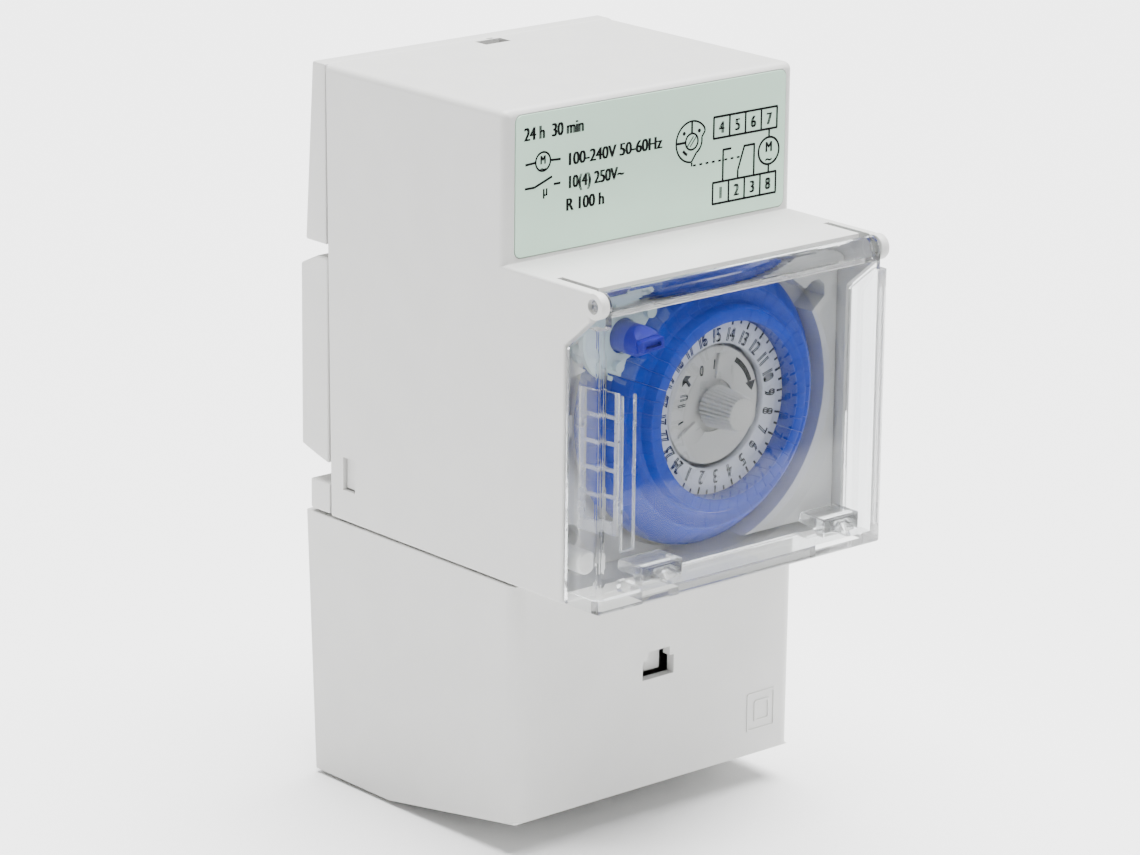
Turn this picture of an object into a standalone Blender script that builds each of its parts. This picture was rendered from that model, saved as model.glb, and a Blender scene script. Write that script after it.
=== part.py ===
"""Rail-mounted 24-hour programmable timer with a hinged clear cover and captive tappets.

Frame: +Z up, the front faces -Y, and the origin is the middle of the wall adapter's flat
rear face. Every dimension below is in millimetres; the helpers convert to metres.
"""
import math

import bmesh
import bpy
from mathutils import Matrix, Vector

MM = 0.001

# Outer envelope.
HALF_WIDTH = 26.5
WALL = 1.5
TOP_Z = 43.0
UPPER_FRONT_Y = -44.7
NOSE_TOP_Z = 21.8
NOSE_BOTTOM_Z = -22.8
NOSE_FRONT_Y = -57.45
COVER_FRONT_Y = -64.9
SEAM_TOP_Y = -5.9
SEAM_BOTTOM_Y = -6.8
BASE_REAR_TOP_Y = -2.8
BASE_REAR_Y = -1.1
GAP = 0.3

# Hinge of the clear cover.
HINGE_Y = -63.1
HINGE_Z = 20.0
EAR_RADIUS = 2.0
EAR_HOLE_RADIUS = 1.25
BARREL_RADIUS = 1.75
EAR_INNER_X = 25.0

# Printed plate on the upper section.
LABEL_X = (-24.5, 25.0)
LABEL_Z = (22.5, 42.1)
LABEL_THICKNESS = 0.3

# Program dial, on an axis parallel to Y.
DIAL_X = 1.4
DIAL_Z = 0.0
DIAL_HOLE_RADIUS = 21.15
NUMBER_FACE_Y = -56.6
NUMBER_INNER_RADIUS = 8.88
NUMBER_OUTER_RADIUS = 12.55
CARRIER_RADIUS = 19.4
HUB_RADIUS = 4.4
SPINDLE_RADIUS = 3.1
SPINDLE_BORE_RADIUS = 1.9
DISC_RADIUS = 8.4
DISC_FACE_Y = -56.1

# Ring of tappets: each block joins four half-hour tappets.
TAPPET_BLOCKS = 12
TAPPET_GAP_DEG = 1.3
TAPPET_PIVOT_RADIUS = 17.0
TAPPET_PIVOT_Y = -51.0

# Setting knob and its shaft.
KNOB_FACE_Y = -62.1
KNOB_BASE_RADIUS = 3.1
KNOB_FACE_RADIUS = 2.5
SHAFT_RADIUS = 1.6

# Override lever.
LEVER_X = -16.1
LEVER_Z = 13.1
LEVER_RADIUS = 2.2
LEVER_TIP_Y = -63.1
LEVER_SHAFT_RADIUS = 0.9

# Selector plate round the lever.
SELECTOR_FRONT_Y = -57.0
SELECTOR_REAR_Y = -56.3
SELECTOR_RADIUS = 6.4
SELECTOR_DIAL_RADIUS = 18.9
COLLAR_DIAL_RADIUS = 21.1

# Bezel tray around the dial: a low plate with raised parts at the right and at the lever.
BEZEL_RIGHT_Y = -56.0
BEZEL_LEVER_Y = -53.0
BEZEL_PLATE_Y = -51.0
BEZEL_FLOOR_FRONT_Y = -49.4
BEZEL_FLOOR_REAR_Y = -48.4
BEZEL_HALF_WIDTH = 24.7
BEZEL_BOTTOM_Z = -21.0
BEZEL_TOP_Z = 20.4
POCKET_RADIUS = 5.75
POCKET_FLOOR_Y = -50.5
RESET_X = -22.45
RESET_Z = -17.3
RESET_FRONT_Y = -58.7

# Gear train: module, teeth and the planes of the two gear layers.
GEAR_MODULE = 0.5
DIAL_TEETH = 54
PINION_TEETH = 12
WHEEL_TEETH = 48
KNOB_TEETH = 18
FRONT_LAYER = (-47.9, -46.3)
REAR_LAYER = (-42.6, -41.2)
IDLER_ANGLE_DEG = 60.0
MOTOR_ANGLE_DEG = 151.25

# Wall adapter and rail latch.
ADAPTER_HALF_HEIGHT = 13.4
FLANGE_HALF_HEIGHT = 15.1
TONGUE_HALF_HEIGHT = 16.5
FLANGE_REAR_Y = -3.7
FLANGE_FRONT_Y = -6.1
RECESS_TOP_Z = 17.0
RECESS_BOTTOM_Z = -18.1

# Terminals under the lower cover.
TERMINAL_XS = (-17.4, -5.8, 5.8, 17.4)
TIER_FRONT_YS = (-43.0, -27.0)
TIER_BOTTOM_ZS = (-37.5, -51.0)
LOWER_TOP_Z = -23.05
LOWER_FRONT_Y = -47.75
LOWER_FRONT_BOTTOM_Z = -57.9
LOWER_BOTTOM_Z = -62.6
LOWER_WALL = 1.4

MATERIALS = {
    "housing_grey": ((0.62, 0.62, 0.60, 1.0), 0.55, 0.0),
    "bezel_grey": ((0.55, 0.56, 0.57, 1.0), 0.50, 0.0),
    "clear": ((0.88, 0.92, 0.93, 0.25), 0.05, 0.0),
    "tappet_blue": ((0.05, 0.12, 0.52, 1.0), 0.40, 0.0),
    "lever_blue": ((0.06, 0.07, 0.48, 1.0), 0.40, 0.0),
    "number_white": ((0.72, 0.74, 0.80, 1.0), 0.45, 0.0),
    "disc_grey": ((0.55, 0.55, 0.54, 1.0), 0.50, 0.0),
    "pale_cyan": ((0.60, 0.74, 0.78, 1.0), 0.35, 0.0),
    "white": ((0.85, 0.85, 0.84, 1.0), 0.45, 0.0),
    "label_green": ((0.60, 0.74, 0.66, 1.0), 0.40, 0.0),
    "black": ((0.04, 0.04, 0.04, 1.0), 0.50, 0.0),
    "steel": ((0.60, 0.60, 0.62, 1.0), 0.30, 1.0),
    "brass": ((0.75, 0.58, 0.25, 1.0), 0.30, 1.0),
    "board_green": ((0.05, 0.28, 0.12, 1.0), 0.45, 0.0),
}


# --------------------------------------------------------------------------- helpers

def clear_scene():
    for item in list(bpy.data.objects):
        bpy.data.objects.remove(item, do_unlink=True)


def make_collection(name):
    collection = bpy.data.collections.new(name)
    bpy.context.scene.collection.children.link(collection)
    return collection


def make_material(name):
    colour, roughness, metallic = MATERIALS[name]
    material = bpy.data.materials.new(name)
    material.use_nodes = True
    shader = material.node_tree.nodes["Principled BSDF"]
    shader.inputs["Base Color"].default_value = colour
    shader.inputs["Roughness"].default_value = roughness
    shader.inputs["Metallic"].default_value = metallic
    shader.inputs["Alpha"].default_value = colour[3]
    return material


def shape(mesh):
    """Wrap a mesh as a hidden tool shape; `part` turns one into a visible part."""
    item = bpy.data.objects.new("shape", mesh)
    TOOLS.objects.link(item)
    item.hide_render = True
    item.display_type = "WIRE"
    return item


def part(item, name, material):
    """Make a shape the base of a named part of the object."""
    item.name = name
    TOOLS.objects.unlink(item)
    TIMER.objects.link(item)
    item.hide_render = False
    item.display_type = "TEXTURED"
    item.data.materials.clear()
    item.data.materials.append(make_material(material))
    item.data.set_sharp_from_angle(angle=math.radians(30))
    return item


def boolean(item, operation, tools):
    for tool in tools:
        modifier = item.modifiers.new(operation.lower(), "BOOLEAN")
        modifier.operation = operation
        modifier.object = tool
    return item


def fuse(item, *tools):
    return boolean(item, "UNION", tools)


def cut(item, *tools):
    return boolean(item, "DIFFERENCE", tools)


def pivot(name, position, *children):
    """Put an empty on a joint's axis and parent the moving pieces to it."""
    empty = bpy.data.objects.new(name, None)
    TIMER.objects.link(empty)
    empty.location = Vector(position) * MM
    for child in children:
        child.parent = empty
        child.matrix_parent_inverse = Matrix.Translation(-empty.location)
    return empty


def block(x, y, z):
    """Box between the given (low, high) pairs."""
    spans = [sorted(span) for span in (x, y, z)]
    size = Vector([(high - low) * MM for low, high in spans])
    middle = Vector([(high + low) / 2 * MM for low, high in spans])
    mesh = bpy.data.meshes.new("block")
    bm = bmesh.new()
    bmesh.ops.create_cube(bm, size=1.0)
    bmesh.ops.scale(bm, vec=size, verts=bm.verts)
    bmesh.ops.translate(bm, vec=middle, verts=bm.verts)
    bm.to_mesh(mesh)
    bm.free()
    return shape(mesh)


def axis_frame(axis):
    """Matrix whose local +Z is the world axis named 'x', 'y' or 'z'."""
    turns = {
        "x": Matrix.Rotation(math.pi / 2, 4, "Y"),
        "y": Matrix.Rotation(-math.pi / 2, 4, "X"),
        "z": Matrix.Identity(4),
    }
    return turns[axis]


def rod(axis, centre, radius, span, sides=24):
    """Cylinder along an axis: centre gives the two other coordinates in order."""
    low, high = sorted(span)
    places = {
        "x": (0.5 * (low + high), centre[0], centre[1]),
        "y": (centre[0], 0.5 * (low + high), centre[1]),
        "z": (centre[0], centre[1], 0.5 * (low + high)),
    }
    mesh = bpy.data.meshes.new("rod")
    bm = bmesh.new()
    bmesh.ops.create_cone(
        bm,
        cap_ends=True,
        segments=sides,
        radius1=radius * MM,
        radius2=radius * MM,
        depth=(high - low) * MM,
    )
    bm.to_mesh(mesh)
    bm.free()
    mesh.transform(Matrix.Translation(Vector(places[axis]) * MM) @ axis_frame(axis))
    return shape(mesh)


def slab(outlines, across, span):
    """Flat outline, with any holes after it, extruded along the axis named by `across`.

    Outline points are (y, z) across 'x' and (x, z) across 'y'.
    """
    low, high = sorted(span)
    curve = bpy.data.curves.new("outline", "CURVE")
    curve.dimensions = "2D"
    curve.fill_mode = "BOTH"
    curve.extrude = (high - low) / 2 * MM
    for outline in outlines:
        spline = curve.splines.new("POLY")
        spline.points.add(len(outline) - 1)
        for point, (u, v) in zip(spline.points, outline):
            point.co = (u * MM, v * MM, 0.0, 1.0)
        spline.use_cyclic_u = True
    holder = bpy.data.objects.new("outline", curve)
    TOOLS.objects.link(holder)
    middle = (low + high) / 2 * MM
    if across == "x":
        place = Matrix(((0, 0, 1, middle), (1, 0, 0, 0), (0, 1, 0, 0), (0, 0, 0, 1)))
    else:
        place = Matrix(((1, 0, 0, 0), (0, 0, -1, middle), (0, 1, 0, 0), (0, 0, 0, 1)))
    return solid_from(holder, place)


def solid_from(holder, place):
    """Turn a curve or a modified object into a welded mesh, moved to its place."""
    bpy.context.view_layer.update()
    evaluated = holder.evaluated_get(bpy.context.evaluated_depsgraph_get())
    mesh = bpy.data.meshes.new_from_object(evaluated)
    bpy.data.objects.remove(holder, do_unlink=True)
    bm = bmesh.new()
    bm.from_mesh(mesh)
    bmesh.ops.remove_doubles(bm, verts=bm.verts, dist=0.00001)
    bmesh.ops.recalc_face_normals(bm, faces=bm.faces)
    bm.to_mesh(mesh)
    bm.free()
    mesh.transform(place)
    return shape(mesh)


def turned(profile, centre, steps=48, closed=True):
    """Solid of revolution about a Y axis through centre (x, z).

    Profile points are (radius, y), running rearwards down the outer side.
    """
    mesh = bpy.data.meshes.new("profile")
    verts = [(radius * MM, 0.0, -y * MM) for radius, y in profile]
    count = len(verts)
    edges = [(i, i + 1) for i in range(count - 1)]
    if closed:
        edges.append((count - 1, 0))
    mesh.from_pydata(verts, edges, [])
    holder = bpy.data.objects.new("profile", mesh)
    TOOLS.objects.link(holder)
    screw = holder.modifiers.new("turn", "SCREW")
    screw.steps = steps
    screw.render_steps = steps
    screw.use_merge_vertices = True
    screw.merge_threshold = 0.00001
    place = Matrix.Translation((centre[0] * MM, 0.0, centre[1] * MM))
    return solid_from(holder, place @ Matrix.Rotation(math.pi / 2, 4, "X"))


def polar(centre, radius, degrees):
    angle = math.radians(degrees)
    return (centre[0] + radius * math.cos(angle), centre[1] + radius * math.sin(angle))


def circle(centre, radius, sides):
    return [polar(centre, radius, 360.0 * i / sides) for i in range(sides)]


def gear_outline(centre, teeth, phase_deg):
    """Involute outline with stub teeth; a tooth is centred on phase_deg."""
    pitch = GEAR_MODULE * teeth / 2
    base = pitch * math.cos(math.radians(20))
    tip = pitch + 0.8 * GEAR_MODULE
    root = pitch - 1.1 * GEAR_MODULE
    backlash = 0.05
    half_tooth = math.pi / (2 * teeth) - backlash / pitch

    def involute(angle):
        return math.tan(angle) - angle

    def half_angle(radius):
        pressure = math.acos(min(1.0, base / max(radius, base)))
        return half_tooth + involute(math.radians(20)) - involute(pressure)

    radii = [max(root, base), pitch, tip]
    points = []
    for i in range(teeth):
        middle = math.radians(phase_deg) + 2 * math.pi * i / teeth
        flank = [(root, half_angle(radii[0]))] if root < radii[0] else []
        flank += [(radius, half_angle(radius)) for radius in radii]
        rising = [(radius, middle - half) for radius, half in flank]
        falling = [(radius, middle + half) for radius, half in reversed(flank)]
        for radius, angle in rising + falling:
            points.append(polar(centre, radius, math.degrees(angle)))
    return points


# --------------------------------------------------------------------------- enclosure

def side_profile():
    """Outline of the front housing seen from the side, as (y, z)."""
    return [
        (SEAM_TOP_Y, TOP_Z),
        (UPPER_FRONT_Y + 1.5, TOP_Z),
        (UPPER_FRONT_Y + 0.4, TOP_Z - 0.4),
        (UPPER_FRONT_Y, TOP_Z - 1.5),
        (UPPER_FRONT_Y, NOSE_TOP_Z),
        (-62.4, NOSE_TOP_Z),
        (-62.4, 17.8),
        (NOSE_FRONT_Y, 13.6),
        (NOSE_FRONT_Y, NOSE_BOTTOM_Z),
        (SEAM_BOTTOM_Y, NOSE_BOTTOM_Z),
    ]


def front_housing():
    body = slab([side_profile()], "x", (-HALF_WIDTH, HALF_WIDTH))
    inner = HALF_WIDTH - WALL
    upper_room = block((-inner, inner), (0, UPPER_FRONT_Y + WALL), (-21.3, TOP_Z - WALL))
    nose_room = block((-inner, inner), (-20, -70), (-21.3, 20.75))
    barrel_room = block((-24.9, 24.9), (-61.3, -70), (15, 30))
    top_slot = block((-0.3, 4.3), (-6.9, -9.4), (40, 45))
    label_pocket = block(
        (LABEL_X[0] - 0.15, LABEL_X[1] + 0.15),
        (UPPER_FRONT_Y - 1, UPPER_FRONT_Y + 0.5),
        (LABEL_Z[0] - 0.15, LABEL_Z[1] + 0.15),
    )
    cable_slot = block((-20, 20), (-12, -20), (-25, -20))
    cut(body, upper_room, nose_room)
    for side in (-1, 1):
        ear = rod("x", (HINGE_Y, HINGE_Z), EAR_RADIUS, (side * EAR_INNER_X, side * HALF_WIDTH))
        fuse(body, ear)
        hole = rod("x", (HINGE_Y, HINGE_Z), EAR_HOLE_RADIUS, (side * 24, side * 28), 16)
        tab_slot = block((side * 24.4, side * 25.02), (-54, -70), (18, 30))
        window = block((side * 24, side * 28), (-9.6, -12.3), (-18.2, -13.3))
        cut(body, hole, tab_slot, window)
    cut(body, barrel_room, top_slot, label_pocket, cable_slot)
    part(body, "front_housing", "housing_grey")


def rear_base():
    """Rear shell with the rail recess, its fixed hooks and the terminal back plate."""
    upper_outline = [
        (BASE_REAR_TOP_Y, TOP_Z),
        (SEAM_TOP_Y + GAP, TOP_Z),
        (SEAM_TOP_Y + GAP, RECESS_TOP_Z),
        (BASE_REAR_Y, RECESS_TOP_Z),
    ]
    body = slab([upper_outline], "x", (-HALF_WIDTH, HALF_WIDTH))
    cut(body, block((-25, 25), (-9, -4.4), (18.5, 41.5)))
    floor = block((-24.6, 24.6), (-8.2, -6.6), (-19.8, 18.4))
    top_web = block((-24.6, 24.6), (-8.2, -5.0), (17.05, 18.4))
    lug = block((-HALF_WIDTH, HALF_WIDTH), (-6.4, -2.0), (-22.6, RECESS_BOTTOM_Z))
    lug_web = block((-24.6, 24.6), (-8.2, -6.0), (-20.9, -18.4))
    back_plate = block((-24.4, 24.4), (-4.2, -1.4), (-61, -20))
    hook = block((-18, 18), (-3.4, -1.3), (15.5, 17.4))
    fuse(body, floor, top_web, lug, lug_web, back_plate, hook)
    for x, z in ((-19, 32), (19, 32), (-20, -14), (20, -14)):
        fuse(body, rod("y", (x, z), 1.8, (-23.7, -3.5 if z > 0 else -7.0), 12))
    latch_channel = block((-7.6, 7.6), (-3.7, 1), (-33.2, -15))
    cut(body, latch_channel)
    fuse(body, block((-1.2, 1.2), (-4.0, -1.8), (-28.9, -27.7)))
    part(body, "rear_base", "housing_grey")


def wall_rail_adapter():
    """Short plastic rail, screwed to the wall, that the case slides or snaps onto."""
    outline = [
        (0, ADAPTER_HALF_HEIGHT),
        (FLANGE_REAR_Y, FLANGE_HALF_HEIGHT),
        (FLANGE_FRONT_Y, FLANGE_HALF_HEIGHT),
        (FLANGE_FRONT_Y, -FLANGE_HALF_HEIGHT),
        (FLANGE_REAR_Y, -FLANGE_HALF_HEIGHT + 0.6),
        (0, -ADAPTER_HALF_HEIGHT),
    ]
    body = slab([outline], "x", (-HALF_WIDTH, HALF_WIDTH))
    tongue = block(
        (-19, 19), (FLANGE_FRONT_Y, FLANGE_REAR_Y - 0.1), (-TONGUE_HALF_HEIGHT, TONGUE_HALF_HEIGHT)
    )
    fuse(body, tongue)
    for side in (-1, 1):
        cut(body, rod("y", (side * 15, 0), 2.2, (-8, 2)))
        cut(body, rod("y", (side * 15, 0), 4.2, (-8, -4)))
    part(body, "wall_rail_adapter", "housing_grey")


def rail_latch():
    """Sprung slide whose top edge hooks behind the adapter's lower tongue."""
    body = block((-7, 7), (-3.4, -1.4), (-30.5, -15.6))
    cut(body, block((-1.7, 1.7), (-5, 0), (-29.2, -20.8)))
    latch = part(body, "rail_latch", "white")
    pivot("rail_latch_slide", (0, -2.4, -23), latch)
    turns, points_per_turn, radius = 5, 8, 0.72
    curve = bpy.data.curves.new("coil", "CURVE")
    curve.dimensions = "3D"
    curve.bevel_depth = 0.2 * MM
    curve.bevel_resolution = 1
    curve.use_fill_caps = True
    spline = curve.splines.new("POLY")
    count = turns * points_per_turn
    spline.points.add(count)
    for i, point in enumerate(spline.points):
        x, y = polar((0, -2.5), radius, 360.0 * i / points_per_turn)
        z = -27.15 + (27.15 - 21.35) * i / count
        point.co = (x * MM, y * MM, z * MM, 1.0)
    holder = bpy.data.objects.new("coil", curve)
    TOOLS.objects.link(holder)
    part(solid_from(holder, Matrix.Identity(4)), "latch_spring", "steel")


def terminal_cover():
    """Lower cover with a stepped release slot in front and two cable entries below."""
    outline = [
        (-0.9, LOWER_TOP_Z),
        (LOWER_FRONT_Y, LOWER_TOP_Z),
        (LOWER_FRONT_Y, LOWER_FRONT_BOTTOM_Z),
        (-19.5, LOWER_BOTTOM_Z),
        (-2.5, LOWER_BOTTOM_Z),
    ]
    room = [
        (5, -15),
        (LOWER_FRONT_Y + LOWER_WALL, -15),
        (LOWER_FRONT_Y + LOWER_WALL, LOWER_FRONT_BOTTOM_Z + 1.2),
        (-19.4, LOWER_BOTTOM_Z + LOWER_WALL),
        (5, LOWER_BOTTOM_Z + LOWER_WALL),
    ]
    body = slab([outline], "x", (-HALF_WIDTH, HALF_WIDTH))
    inner = HALF_WIDTH - LOWER_WALL
    cut(body, slab([room], "x", (-inner, inner)))
    slot = block((-2.9, 3.0), (-50, -45), (-41.8, -39.0))
    slot_step = block((-1.9, 2.2), (-50, -45), (-39.3, -37.7))
    cut(body, slot, slot_step)
    for side in (-1, 1):
        cut(body, block((side * 3.5, side * 20), (-18, -7), (-70, -58)))
    cover = part(body, "terminal_cover", "housing_grey")
    pivot("terminal_cover_pull", (0, LOWER_FRONT_Y, -40), cover)


def clear_cover():
    """Clear door, hinged along its top edge, with snap hooks and a moulded ladder rib."""
    rear = NOSE_FRONT_Y - GAP
    outline = [
        (rear, -22.6),
        (rear, 13.2),
        (-62.3, 17.0),
        (COVER_FRONT_Y, 17.0),
        (COVER_FRONT_Y, -22.6),
    ]
    web = [
        (COVER_FRONT_Y, 16.5),
        (-64.3, 19.9),
        (-62.6, 19.9),
        (-63.55, 16.5),
    ]
    body = slab([outline], "x", (-HALF_WIDTH, HALF_WIDTH))
    cut(body, block((-25.2, 25.2), (-63.6, -50), (-21.0, 25)))
    fuse(body, slab([web], "x", (-24.7, 24.7)))
    fuse(body, rod("x", (HINGE_Y, HINGE_Z), BARREL_RADIUS, (-24.7, 24.7)))
    fuse(body, rod("x", (HINGE_Y, HINGE_Z), 0.9, (-26.0, 26.0), 12))
    for x0, x1 in ((-16.4, -9.0), (17.6, 24.4)):
        stem = block((x0, x1), (-61.8, -60.2), (-22, -18.4))
        hook = block((x0, x1), (-61.8, -56.4), (-19.6, -18.4))
        fuse(body, stem, hook)
    fuse(body, ladder())
    cover = part(body, "clear_cover", "clear")
    pivot("clear_cover_hinge", (0, HINGE_Y, HINGE_Z), cover)


def ladder():
    """Upright rib with five windows behind the front panel, near the cover's left wall."""
    side_point, front_point = (-23.5, -58.1), (-22.6, -63.9)
    along = Vector((front_point[0] - side_point[0], front_point[1] - side_point[1]))
    across = Vector((-along.y, along.x)).normalized() * 0.35
    corners = [
        Vector(side_point) - across,
        Vector(front_point) - across,
        Vector(front_point) + across,
        Vector(side_point) + across,
    ]
    strip = block((0, 1), (0, 1), (-12.2, 7.65))
    for vert in strip.data.vertices:
        index = {(0, 0): 0, (1, 0): 1, (1, 1): 2, (0, 1): 3}
        key = (round(vert.co.x / MM), round(vert.co.y / MM))
        corner = corners[index[key]]
        vert.co.x = corner.x * MM
        vert.co.y = corner.y * MM
    bm = bmesh.new()
    bm.from_mesh(strip.data)
    bmesh.ops.recalc_face_normals(bm, faces=bm.faces)
    bm.to_mesh(strip.data)
    bm.free()
    pitch = 3.7
    for cell in range(5):
        low = -11.6 + pitch * cell
        cut(strip, block((-30, -20), (-63.0, -59.1), (low, low + pitch - 0.7)))
    return strip


# --------------------------------------------------------------------------- front plate

def front_bezel():
    """Tray around the dial: low plate, raised right side and lever corner, round well."""
    wide = (-BEZEL_HALF_WIDTH, BEZEL_HALF_WIDTH)
    body = block(wide, (BEZEL_PLATE_Y, BEZEL_FLOOR_REAR_Y), (BEZEL_BOTTOM_Z, BEZEL_TOP_Z))
    right = block((3.0, wide[1]), (BEZEL_RIGHT_Y, BEZEL_PLATE_Y + 0.5), (-20.2, BEZEL_TOP_Z))
    corner = block((wide[0], -3.5), (BEZEL_LEVER_Y, BEZEL_PLATE_Y + 0.5), (7.2, BEZEL_TOP_Z))
    fuse(body, right, corner)
    well = rod("y", (DIAL_X, DIAL_Z), DIAL_HOLE_RADIUS, (-60, BEZEL_FLOOR_FRONT_Y), 72)
    hub_hole = rod("y", (DIAL_X, DIAL_Z), HUB_RADIUS + 0.4, (-60, -40))
    corner_pocket = rod("y", (20.8, 13.1), 1.75, (-60, -51.5), 16)
    lever_pocket = rod("y", (LEVER_X, LEVER_Z), POCKET_RADIUS, (-60, POCKET_FLOOR_Y), 40)
    lever_hole = rod("y", (LEVER_X, LEVER_Z), 1.3, (-60, -40), 16)
    reset_hole = rod("y", (RESET_X, RESET_Z), 1.9, (-60, -40))
    index_hole = rod("y", (-19.0, -16.1), 1.5, (-60, -40), 16)
    follower_room = block((-23.9, -19.3), (-60, -40), (-2.0, 2.0))
    arbor_hole = rod("y", arbor_place(), 0.95, (-50, -40), 12)
    cut(body, well, hub_hole, corner_pocket, lever_pocket, lever_hole)
    cut(body, reset_hole, index_hole, follower_room, arbor_hole)
    part(body, "front_bezel", "bezel_grey")


def label_plate():
    """Printed plate lying in a shallow pocket of the upper section."""
    front = UPPER_FRONT_Y - 0.1
    body = block(LABEL_X, (front, front + LABEL_THICKNESS), LABEL_Z)
    part(body, "label_plate", "label_green")


def reset_pin():
    body = rod("y", (RESET_X, RESET_Z), 1.65, (RESET_FRONT_Y, -47.4), 20)
    pin = part(body, "reset_pin", "white")
    pivot("reset_pin_press", (RESET_X, RESET_FRONT_Y, RESET_Z), pin)


def override_lever():
    """Round lever with a slotted, flattened head, turning in the bezel."""
    place = (LEVER_X, LEVER_Z)
    body = rod("y", place, LEVER_RADIUS, (-61.3, -56.0))
    head = block(
        (LEVER_X - 1.9, LEVER_X + 1.9), (LEVER_TIP_Y, -60.5), (LEVER_Z - 0.9, LEVER_Z + 0.9)
    )
    shaft = rod("y", place, LEVER_SHAFT_RADIUS, (-56.5, -43.6), 12)
    slot = block((LEVER_X - 1.35, LEVER_X + 1.35), (-70, -62.4), (LEVER_Z - 0.4, LEVER_Z + 0.4))
    fuse(body, head, shaft)
    cut(body, slot)
    lever = part(body, "override_lever", "lever_blue")
    pivot("override_turn", (LEVER_X, LEVER_TIP_Y, LEVER_Z), lever)


def selector_plate():
    """Fixed lobed detent plate around the lever, on a collar cut back to clear the tappets."""
    place = (LEVER_X, LEVER_Z)
    plate = rod("y", place, SELECTOR_RADIUS, (SELECTOR_FRONT_Y, SELECTOR_REAR_Y), 40)
    notches = ((-10, 7.0, 3.4), (-72, 6.6, 1.7), (84, 7.4, 1.6), (-148, 7.2, 1.5))
    for degrees, distance, radius in notches:
        cut(plate, rod("y", polar(place, distance, degrees), radius, (-60, -50), 16))
    dial_clearance = rod("y", (DIAL_X, DIAL_Z), SELECTOR_DIAL_RADIUS, (-60, -50), 64)
    cut(plate, dial_clearance)
    collar = rod("y", place, 5.0, (SELECTOR_REAR_Y - 0.2, POCKET_FLOOR_Y - GAP), 40)
    flange = rod("y", place, 5.5, (-53.4, -52.6), 40)
    fuse(collar, flange)
    cut(collar, rod("y", place, 4.2, (-60, -50), 40))
    cut(collar, rod("y", (DIAL_X, DIAL_Z), COLLAR_DIAL_RADIUS, (-60, -50), 72))
    fuse(plate, collar)
    cut(plate, rod("y", place, LEVER_RADIUS + GAP, (-60, -50)))
    part(plate, "selector_plate", "pale_cyan")


# --------------------------------------------------------------------------- dial

def number_ring():
    """Dial carrier: numbered face, drum wall, flange behind the tappets and hub."""
    drum = NUMBER_OUTER_RADIUS
    profile = [
        (drum, NUMBER_FACE_Y),
        (drum, -50.9),
        (CARRIER_RADIUS, -50.9),
        (CARRIER_RADIUS, -49.8),
        (HUB_RADIUS, -49.8),
        (HUB_RADIUS, -48.2),
        (SPINDLE_RADIUS + GAP, -48.2),
        (SPINDLE_RADIUS + GAP, -50.9),
        (drum - 1.3, -50.9),
        (drum - 1.3, NUMBER_FACE_Y + 1.0),
        (NUMBER_INNER_RADIUS, NUMBER_FACE_Y + 1.0),
        (NUMBER_INNER_RADIUS, NUMBER_FACE_Y),
    ]
    body = turned(profile, (DIAL_X, DIAL_Z), 60)
    return part(body, "number_ring", "number_white")


def tappet_profile():
    """Cross-section of a tappet as (radius, y): front lip, valley, ridge, skirt, foot."""
    return [
        (12.55, -59.4),
        (14.35, -59.5),
        (14.9, -57.0),
        (15.6, -56.8),
        (17.2, -57.4),
        (18.9, -55.6),
        (20.4, -53.6),
        (20.5, -51.6),
        (18.8, -51.3),
        (12.85, -51.3),
        (12.85, -56.8),
    ]


def tappet_block(index):
    """Wedge of the tappet ring, swept about the dial's axis."""
    pitch = 360.0 / TAPPET_BLOCKS
    middle = pitch * (index + 0.5)
    start = math.radians(middle - pitch / 2 + TAPPET_GAP_DEG / 2)
    sweep = math.radians(pitch - TAPPET_GAP_DEG)
    mesh = bpy.data.meshes.new("tappet")
    bm = bmesh.new()
    verts = []
    for radius, y in tappet_profile():
        x = radius * math.cos(start)
        z = radius * math.sin(start)
        verts.append(bm.verts.new((x * MM, y * MM, z * MM)))
    face = bm.faces.new(verts)
    geometry = [face] + list(face.edges) + list(face.verts)
    bmesh.ops.spin(
        bm, geom=geometry, axis=(0, -1, 0), cent=(0, 0, 0), angle=sweep, steps=6,
        use_duplicate=False,
    )
    bmesh.ops.recalc_face_normals(bm, faces=bm.faces)
    bmesh.ops.translate(bm, vec=(DIAL_X * MM, 0, DIAL_Z * MM), verts=bm.verts)
    bm.to_mesh(mesh)
    bm.free()
    item = part(shape(mesh), f"tappet_block_{index + 1:02d}", "tappet_blue")
    x, z = polar((DIAL_X, DIAL_Z), TAPPET_PIVOT_RADIUS, middle)
    return pivot(f"tappet_tilt_{index + 1:02d}", (x, TAPPET_PIVOT_Y, z), item)


def dial():
    centre = (DIAL_X, DIAL_Z)
    ring = number_ring()
    bore = circle(centre, SPINDLE_RADIUS + GAP, 24)
    teeth = gear_outline(centre, DIAL_TEETH, IDLER_ANGLE_DEG)
    gear = part(slab([teeth, bore], "y", FRONT_LAYER), "dial_gear", "white")
    tilts = [tappet_block(index) for index in range(TAPPET_BLOCKS)]
    pivot("program_dial", (DIAL_X, NUMBER_FACE_Y, DIAL_Z), ring, gear, *tilts)


def centre_disc():
    """Fixed legend disc with a recessed sector on its upper left."""
    centre = (DIAL_X, DIAL_Z)
    body = rod("y", centre, DISC_RADIUS, (DISC_FACE_Y, DISC_FACE_Y + 1.1), 48)
    cut(body, rod("y", centre, SPINDLE_BORE_RADIUS, (-60, -50)))
    arc = [polar(centre, 7.2, degrees) for degrees in range(80, 236, 12)]
    inner_arc = [polar(centre, 3.7, degrees) for degrees in range(224, 79, -24)]
    cut(body, slab([arc + inner_arc], "y", (-60, DISC_FACE_Y + 0.4)))
    part(body, "centre_disc", "disc_grey")


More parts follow.
